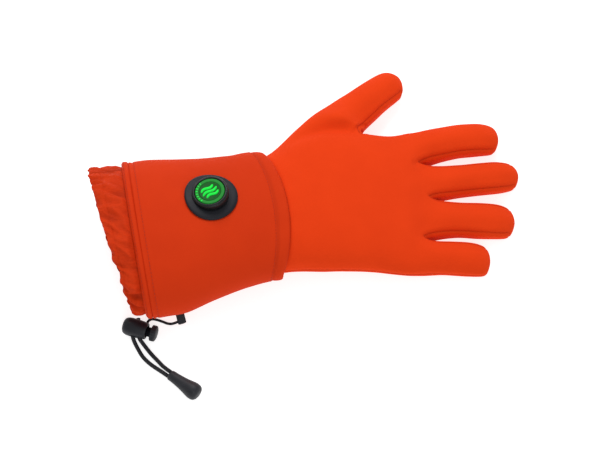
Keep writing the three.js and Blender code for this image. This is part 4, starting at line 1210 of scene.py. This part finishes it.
# %% The button's seat on the cuff
BUTTON_ALONG = 0.572
BUTTON_AROUND = 79
BUTTON_SIDES = 96
button_origin = cuff_point(BUTTON_ALONG, BUTTON_AROUND)
cuff_normal = (cuff_point(BUTTON_ALONG, BUTTON_AROUND + 1) - button_origin).cross(
    cuff_point(BUTTON_ALONG + 0.01, BUTTON_AROUND) - button_origin).normalized()
button_aside = cuff_normal.cross(Vector((1, 0, 0))).normalized()
button_up = Matrix.Rotation(math.radians(-14), 3, button_aside) @ cuff_normal
button_right = button_aside.cross(button_up)


def button_point(right, aside, up):
    return button_origin + button_right * right + button_aside * aside + button_up * up


def face_point(radius, turn, up):
    c, s = cos_sin(turn)
    return button_point(radius * c, radius * s, up)


def flat_ring(radius, up):
    return circle(BUTTON_SIDES, lambda turn: face_point(radius, turn, up))


def on_cuff(point):
    """The nearest place on the cuff's outer face."""
    along, around = BUTTON_ALONG, BUTTON_AROUND
    for _ in range(8):
        here = cuff_point(along, around)
        ahead = cuff_point(along + 0.01, around) - here
        aside = cuff_point(along, around + 1) - here
        along += 0.01 * (point - here).dot(ahead) / ahead.length_squared
        around += (point - here).dot(aside) / aside.length_squared
    return cuff_point(along, around)


def skin_ring(radius, lift):
    return [on_cuff(p) + button_up * lift for p in flat_ring(radius, 0)]


print("button seat at", [round(v, 1) for v in button_origin])

# %% [markdown]
# Every round piece of the button is a short table of radii and heights. The flange is thickest under
# the cap and thins towards its edge, the cap has a rounded shoulder, and the lens is a ring round a
# dish. The waves are thin tubes laid in the dish, at a slant.

# %% The button
BORE = 6.8
SEAT = 0.45
FLANGE_TOP = SEAT + 2.2
CAP_FOOT = FLANGE_TOP + 0.3
CAP_TOP = CAP_FOOT + 5
FLANGE_PROFILE = [
    (BORE, 0), (19.8, 0), (20.15, 0.3), (20.2, 0.7), (20, 1.15), (19.4, 1.6), (18.4, 1.85),
    (17, 1.95), (15.4, 2.0), (14.7, 2.15), (14.2, 2.2), (BORE, 2.2),
]
CAP_PROFILE = [
    (13.6, -3.6), (13.6, -1.9), (13.5, -1.2), (13.15, -0.6), (12.6, -0.2), (12, 0), (11.75, -0.05),
    (11.45, -0.25), (11.3, -0.6), (11.3, -1.3),
]
RING_PROFILE = [
    (10.9, -0.95), (10.9, -0.5), (10.7, -0.28), (10.3, -0.18), (8.6, -0.22), (8.3, -0.35), (8.2, -0.95),
]
DISH_PROFILE = [(8.1, -0.95), (8.1, -0.55), (7.8, -0.4), (7.2, -0.38), (6.9, -0.5), (3.5, -0.6)]
WAVE_REACH = 6.3
WAVE_STEP = 3.3
WAVE_SWAY = 1.1
WAVE_POINTS = 21
WAVE_RADIUS = 1.05
WAVE_DEEP = 0.55


def build_button():
    flange = skin("flange", [skin_ring(r, SEAT + h) for r, h in FLANGE_PROFILE], caps=True)
    dress(flange, RUBBER, "button_rubber", ["button_flange"])
    rings = [skin_ring(BORE, CAP_FOOT), skin_ring(CAP_PROFILE[0][0], CAP_FOOT)]
    cap = skin("cap", rings + [flat_ring(r, CAP_TOP + h) for r, h in CAP_PROFILE], caps=True)
    dress(cap, CAP_PLASTIC, "button_plastic", ["button_cap"])
    ring = skin("lens_ring", [flat_ring(r, CAP_TOP + h) for r, h in RING_PROFILE], round_again=True)
    dress(ring, RING_GREEN, "button_lens", ["button_face"])
    dish = skin("lens_dish", [flat_ring(r, CAP_TOP + h) for r, h in DISH_PROFILE], caps=True)
    dress(dish, DEEP_GREEN, "button_lens", [])
    for k in (-1, 0, 1):
        path = []
        for i in range(WAVE_POINTS):
            t = i / (WAVE_POINTS - 1)
            far = mix(-WAVE_REACH, WAVE_REACH, t) * (1 - 0.16 * abs(k))
            sway = WAVE_STEP * k + WAVE_SWAY * math.sin(2 * math.pi * t)
            right, aside = 0.75 * far - 0.66 * sway, 0.66 * far + 0.75 * sway
            path.append(button_point(right, aside, CAP_TOP - WAVE_DEEP))
        rings = tube_rings(path, lambda t: WAVE_RADIUS - 0.7 * abs(2 * t - 1) ** 6, 10)
        wave = skin(f"heat_wave_{k + 2}", rings, caps=True)
        dress(wave, BRIGHT_GREEN, "button_lens", [])


build_button()
print("button", round(2 * FLANGE_PROFILE[3][0], 1), "mm across")

# %% [markdown]
# Sewing is a short shape repeated many times, so Geometry Nodes does it. The row comes in as a chain
# of points, the nodes walk along it with even steps and set one stitch at each, turned the way the
# row runs. Thread never lies quite even: a random turn and size, with a fixed seed, gives it away.

# %% A row of repeats
ROW_INPUTS = [("Count", "Int"), ("Length", "Float"), ("Width", "Float"), ("Depth", "Float"),
              ("Looseness", "Float"), ("Seed", "Int"), ("Finish", "Material")]
SMALLEST = (0.92, 0.92, 0.85)
LARGEST = (1.06, 1.06, 1.1)


def row_of_repeats():
    tree = bpy.data.node_groups.new("row_of_repeats", "GeometryNodeTree")
    tree.interface.new_socket("Row", in_out="INPUT", socket_type="NodeSocketGeometry")
    for name, kind in ROW_INPUTS:
        tree.interface.new_socket(name, in_out="INPUT", socket_type=f"NodeSocket{kind}")
    tree.interface.new_socket("Repeats", in_out="OUTPUT", socket_type="NodeSocketGeometry")

    def node(kind, settings=None, sockets=None):
        made = tree.nodes.new(kind)
        for key, value in (settings or {}).items():
            setattr(made, key, value)
        for key, value in (sockets or {}).items():
            if isinstance(value, bpy.types.NodeSocket):
                tree.links.new(value, made.inputs[key])
            else:
                made.inputs[key].default_value = value
        return made.outputs

    given = node("NodeGroupInput")
    curve = node("GeometryNodeMeshToCurve", None, {0: given["Row"]})
    walk = {"Curve": curve[0], "Count": given["Count"]}
    points = node("GeometryNodeCurveToPoints", {"mode": "COUNT"}, walk)
    vector = {"data_type": "FLOAT_VECTOR"}
    stretch = {"operation": "SCALE"}
    least = node("ShaderNodeVectorMath", stretch, {0: (-1, -1, -1), "Scale": given["Looseness"]})
    most = node("ShaderNodeVectorMath", stretch, {0: (1, 1, 1), "Scale": given["Looseness"]})
    sway = node("FunctionNodeRandomValue", vector, {0: least[0], 1: most[0], "Seed": given["Seed"]})
    tilt = node("FunctionNodeEulerToRotation", None, {0: sway[0]})
    turned = node("FunctionNodeRotateRotation", {"rotation_space": "LOCAL"},
                  {0: points["Rotation"], 1: tilt[0]})
    axes = {0: given["Width"], 1: given["Depth"], 2: given["Length"]}
    size = node("ShaderNodeCombineXYZ", None, axes)
    other = node("ShaderNodeMath", {"operation": "ADD"}, {0: given["Seed"], 1: 1.0})
    share = node("FunctionNodeRandomValue", vector, {0: SMALLEST, 1: LARGEST, "Seed": other[0]})
    scale = node("ShaderNodeVectorMath", {"operation": "MULTIPLY"}, {0: size[0], 1: share[0]})
    one = node("GeometryNodeMeshUVSphere", None, {"Segments": 10, "Rings": 7, "Radius": 0.5})
    placed = node("GeometryNodeInstanceOnPoints", None, {
        "Points": points["Points"], "Instance": one[0], "Rotation": turned[0], "Scale": scale[0]})
    whole = node("GeometryNodeRealizeInstances", None, {0: placed[0]})
    painted = node("GeometryNodeSetMaterial", None, {"Geometry": whole[0], "Material": given["Finish"]})
    node("NodeGroupOutput", None, {0: painted[0]})
    return tree


REPEATS = row_of_repeats()
print("nodes that make a row:", len(REPEATS.nodes))

# %% [markdown]
# To use the nodes, a chain of points becomes the mesh of a new piece, and the tree its modifier. The
# result is then kept as a plain mesh, because a stitch must not move once it is sewn.

# %% Laying a row
LOWEST = 0.3


def repeat_along(name, row, closed, slot, **given):
    """One plain mesh of repeats along a chain of points in millimetres, kept clear of the floor."""
    row = [Vector((p.x, p.y, max(p.z, LOWEST))) for p in row]
    mesh = bpy.data.meshes.new(name)
    steps = [(i, i + 1) for i in range(len(row) - 1)] + ([(len(row) - 1, 0)] if closed else [])
    mesh.from_pydata([p * MM for p in row], steps, [])
    piece = link(name, mesh)
    repeats = piece.modifiers.new("repeats", "NODES")
    repeats.node_group = REPEATS
    for item in REPEATS.interface.items_tree:
        if item.in_out == "INPUT" and item.name in given:
            repeats[item.identifier] = given[item.name]
    make_plain(piece)
    piece.data.shade_smooth()
    print(name, "has", given["Count"], "repeats and", len(piece.data.polygons), "faces")
    dress(piece, given["Finish"], slot, [])


print("a row keeps", LOWEST, "mm clear of the floor")

# %% [markdown]
# Three rows of sewing show on the cuff: one holds the rolled edge at the wrist, and two hold the
# binding at the mouth. On the lens ring the same nodes make plain ticks. They are wider and get no
# random turn, because they are moulded and not sewn.

# %% Stitches and ticks
TICK_RADIUS = 9.6
TICK_TURNS = range(138, 236, 3)


def sewn_edge(along):
    """A line round the cuff, a hair above its cloth."""
    return circle(CUFF_SIDES, lambda turn: cuff_point(along, turn, -cuff_stand(along, turn) - 0.02))


def sewn_binding(turn):
    return hem_point(3.4, turn, -0.42)


SEWING = [
    dict(name="stitches_wrist_edge", row=sewn_edge(BAND_START - 0.014), Count=104, Seed=11,
         Width=0.55 * MM),
    dict(name="stitches_mouth_edge", row=sewn_edge(0.034), Count=118, Seed=12, Width=0.55 * MM),
    dict(name="stitches_binding", row=circle(CUFF_SIDES, sewn_binding), Count=120, Seed=17,
         Width=0.5 * MM),
]
for sewing in SEWING:
    repeat_along(**sewing, closed=True, slot="cuff_padding", Length=2 * MM, Depth=0.4 * MM,
                 Looseness=0.08, Finish=THREAD)
ticks = [face_point(TICK_RADIUS, turn, CAP_TOP - 0.16) for turn in TICK_TURNS]
repeat_along("lens_ticks", ticks, closed=False, slot="button_lens", Count=8, Length=0.8 * MM,
             Width=1.8 * MM, Depth=0.2 * MM, Looseness=0.0, Seed=1, Finish=BRIGHT_GREEN)

# %% [markdown]
# The cord lock is a moulded barrel with a sprung plunger. Pressing the plunger lines up the holes
# and frees the cord. Both are turned shapes, so a short table of distances and radii is enough, and
# the holes for the two strands are cut out of the barrel with a Boolean.

# %% The cord lock
LOCK_LENGTH = 18.5
LOCK_RADIUS = 6.9
LOCK_MIDDLE = Vector((-158.9, -102.5, LOCK_RADIUS))
LOCK_HEADING = -17
UPWARDS = Vector((0, 0, 1))
lock_axis = heading(LOCK_HEADING)
lock_aside = heading(LOCK_HEADING + 90)
BARREL_PROFILE = [
    (-1, 0.3), (-0.985, 0.45), (-0.95, 0.62), (-0.88, 0.78), (-0.75, 0.895), (-0.55, 0.97),
    (-0.3, 0.995), (0, 1), (0.3, 0.99), (0.6, 0.96), (0.8, 0.93), (0.92, 0.9), (0.97, 0.88),
    (1, 0.84), (1, 0.7), (0.97, 0.685), (0.56, 0.68),
]
PLUNGER_PROFILE = [
    (0, 5.7), (0.25, 6), (0.6, 6.1), (2.6, 6.1), (3.3, 5.9), (3.8, 5.4), (4.2, 4.4), (4.5, 3.2),
]
PLUNGER_GAP = 3.3
PLUNGER_RIBS = 18
RIB_DEPTH = 0.35
STEM_RADIUS = 3.6
STEM_TIP_RADIUS = 2.6
STEM_DEPTH = 0.6
HOLE_RADIUS = 2.1
HOLE_POINTS = 8


def lock_rings(rows, sides, ribs=0.0):
    """Rings along the lock's axis. ribs is how deep the finger grip is cut."""
    def ring(along, radius):
        def grip(turn):
            return radius - ribs * (1 + math.cos(math.radians(PLUNGER_RIBS * turn))) / 2

        return round_ring(sides, LOCK_MIDDLE + lock_axis * along, lock_aside, UPWARDS, grip)

    return [ring(along, radius) for along, radius in rows]


def cut_holes(piece, cutters):
    for cutter in cutters:
        cut = piece.modifiers.new("hole", "BOOLEAN")
        cut.object = cutter
        cut.solver = "EXACT"
    make_plain(piece)
    for cutter in cutters:
        bpy.data.objects.remove(cutter)


def build_lock():
    half = LOCK_LENGTH / 2
    rows = [(along * half, radius * LOCK_RADIUS) for along, radius in BARREL_PROFILE]
    barrel = skin("lock_barrel", lock_rings(rows, 64), caps=True)
    routes = [smooth_route(route[:HOLE_POINTS]) for route in (LEFT_ROUTE, RIGHT_ROUTE)]
    holes = [skin("hole", tube_rings(route, HOLE_RADIUS, CORD_SIDES), caps=True) for route in routes]
    cut_holes(barrel, holes)
    dress(barrel, LOCK_PLASTIC, "lock_plastic", ["cord_lock_barrel"])
    foot, start = half - STEM_DEPTH, half + PLUNGER_GAP
    stem = [(foot, STEM_TIP_RADIUS), (foot, STEM_RADIUS), (start, STEM_RADIUS)]
    cap = [(start + along, radius) for along, radius in PLUNGER_PROFILE]
    plunger = skin("lock_plunger", lock_rings(stem, 72) + lock_rings(cap, 72, RIB_DEPTH), caps=True)
    dress(plunger, LOCK_PLASTIC, "lock_plastic", ["cord_lock_plunger"], body="plunger")
    return barrel


barrel = build_lock()
print("barrel faces after the holes:", len(barrel.data.polygons))

# %% [markdown]
# Both strands end in one moulded piece of rubber, so that the cord can be pulled with a glove on. It
# is slim where the cord goes in and widest near its far end, which rests on the floor.

# %% The moulded cord end
CORD_END_START = Vector((-132.4, -137.6, 0))
CORD_END_HEADING = -37.5
CORD_END_LENGTH = 27
CORD_END_RADIUS = 3.9
CORD_END_SIDES = 48
WIDEST_AT = 0.82
WIDEST_HEIGHT = 6.4
CORD_END_ROWS = [
    (0, 0.8), (0.012, 0.9), (0.05, 1), (0.2, 1.04), (0.35, 1.14), (0.5, 1.27), (0.62, 1.42),
    (0.73, 1.57), (WIDEST_AT, 1.64), (0.9, 1.58), (0.95, 1.42), (0.985, 1.15), (1, 0.85),
]


def build_cord_end():
    ahead, aside = heading(CORD_END_HEADING), heading(CORD_END_HEADING + 90)

    def ring(along, radius):
        middle = CORD_END_START + ahead * (along * CORD_END_LENGTH)
        middle.z = mix(CORD_END_RADIUS, WIDEST_HEIGHT, min(along / WIDEST_AT, 1))
        return round_ring(CORD_END_SIDES, middle, aside, UPWARDS, radius * CORD_END_RADIUS)

    end = skin("cord_end_bell", [ring(a, r) for a, r in CORD_END_ROWS], caps=True)
    return dress(end, END_RUBBER, "cord_end_rubber", ["cord_end"])


cord_end = build_cord_end()
print("cord end", CORD_END_LENGTH, "mm long")

# %% [markdown]
# The retaining tab is a strip of webbing folded round the thin cord and sewn under the cuff's lower
# edge. Its outline is a flat loop, and a small rounded section is carried round it.

# %% The webbing tab
TAB_ALONG = 0.19
TAB_AROUND = 206
TAB_OUT = 2.8
TAB_REACH = 6.5
TAB_FOLD_RADIUS = 1.9
TAB_HALF_WIDTH = 3
TAB_HALF_WALL = 0.58
TAB_ROWS = 40
TAB_SIDES = 12
TAB_HANGS = Vector((0, -0.55, -0.835))


def build_tab():
    root = cuff_point(TAB_ALONG, TAB_AROUND)
    across = (cuff_point(TAB_ALONG + 0.01, TAB_AROUND) - root).normalized()
    outwards = (cuff_point(TAB_ALONG, TAB_AROUND + 1) - root).cross(across).normalized()
    down = (TAB_HANGS - across * TAB_HANGS.dot(across)).normalized()
    deep = down.cross(across)
    middle = root + outwards * TAB_OUT

    def place(turn, side):
        c, s = cos_sin(turn)
        thick, wide = cos_sin(side)
        reach = TAB_REACH * smooth_step(c, -0.1, 0.1)
        radius = TAB_FOLD_RADIUS + squarer(thick) * TAB_HALF_WALL
        flat = middle + down * (radius * c + reach) + deep * (radius * s)
        return flat + across * (TAB_HALF_WIDTH * squarer(wide))

    rings = circle(TAB_ROWS, lambda turn: circle(TAB_SIDES, lambda side: place(turn, side)))
    tab = skin("tab", rings, round_again=True)
    return dress(tab, WEBBING, "tab_webbing", ["retaining_tab"])


tab = build_tab()
print("tab faces:", len(tab.data.polygons))

# %% [markdown]
# All three cords are laid now that the pieces they end in are there. The two strands run from the hem
# through the lock, and the thin cord is sewn into its tab and keeps the lock from getting lost.

# %% The cords laid
add_cord("drawcord_strand_1", LEFT_ROUTE, DRAWCORD_DIAMETER, CORD_BRAID,
         "drawcord_left")
add_cord("drawcord_strand_2", RIGHT_ROUTE, DRAWCORD_DIAMETER, CORD_BRAID,
         "drawcord_right")
add_cord("retaining_string", RETAINING_ROUTE, RETAINING_DIAMETER, FINE_BRAID,
         "retaining_cord")

# %% [markdown]
# The floor and the light come last. The picture has a plain white ground and light from above, a
# little stronger from the thumb's side. The floor is only there to catch the soft shadow.

# %% Floor and light
FLOOR_HALF = 4
FLOOR_GLOW = 0.75
SKY_STRENGTH = 0.54
LIGHTS = [
    {"name": "key", "place": (-0.15, 1.0, 1.2), "size": 0.8, "watts": 15},
    {"name": "fill", "place": (0.3, -1.4, 1.2), "size": 1.2, "watts": 8},
]


def build_stage():
    paint = Paint("white_floor")
    floor_finish = paint.finish(
        Base_Color=linear(196, 196, 196),
        Roughness=0.9,
        Specular_IOR_Level=0.1,
        Emission_Color=linear(255, 255, 255),
        Emission_Strength=FLOOR_GLOW,
    )
    far = FLOOR_HALF
    corners = [(-far, -far, 0), (far, -far, 0), (far, far, 0), (-far, far, 0)]
    mesh = bpy.data.meshes.new("floor")
    mesh.from_pydata(corners, [], [(0, 1, 2, 3)])
    mesh.materials.append(floor_finish)
    link("floor", mesh)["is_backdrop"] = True
    world = bpy.data.worlds.new("studio")
    world.use_nodes = True
    sky = world.node_tree.nodes["Background"].inputs
    sky["Color"].default_value = (1, 1, 1, 1)
    sky["Strength"].default_value = SKY_STRENGTH
    bpy.context.scene.world = world
    for row in LIGHTS:
        light = bpy.data.lights.new(row["name"], "AREA")
        light.size = row["size"]
        light.energy = row["watts"]
        lamp = bpy.data.objects.new(row["name"], light)
        lamp.location = row["place"]
        lamp.rotation_euler = (Vector(row["place"]) - LOOK_AT).to_track_quat("Z", "Y").to_euler()
        bpy.context.scene.collection.objects.link(lamp)
    bpy.context.scene.view_settings.view_transform = "Standard"


build_stage()
print("lights:", [row["name"] for row in LIGHTS])

# %% [markdown]
# Last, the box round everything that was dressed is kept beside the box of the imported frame. The two
# should differ by little more than the height of a swell in the cloth.

# %% The sizes, kept for comparison
visual_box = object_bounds()
sizes = {"cad": [list(map(float, corner)) for corner in cad_box], "visual": [list(map(float, c)) for c in visual_box]}
print("CAD box", sizes["cad"])
print("visual box", sizes["visual"])
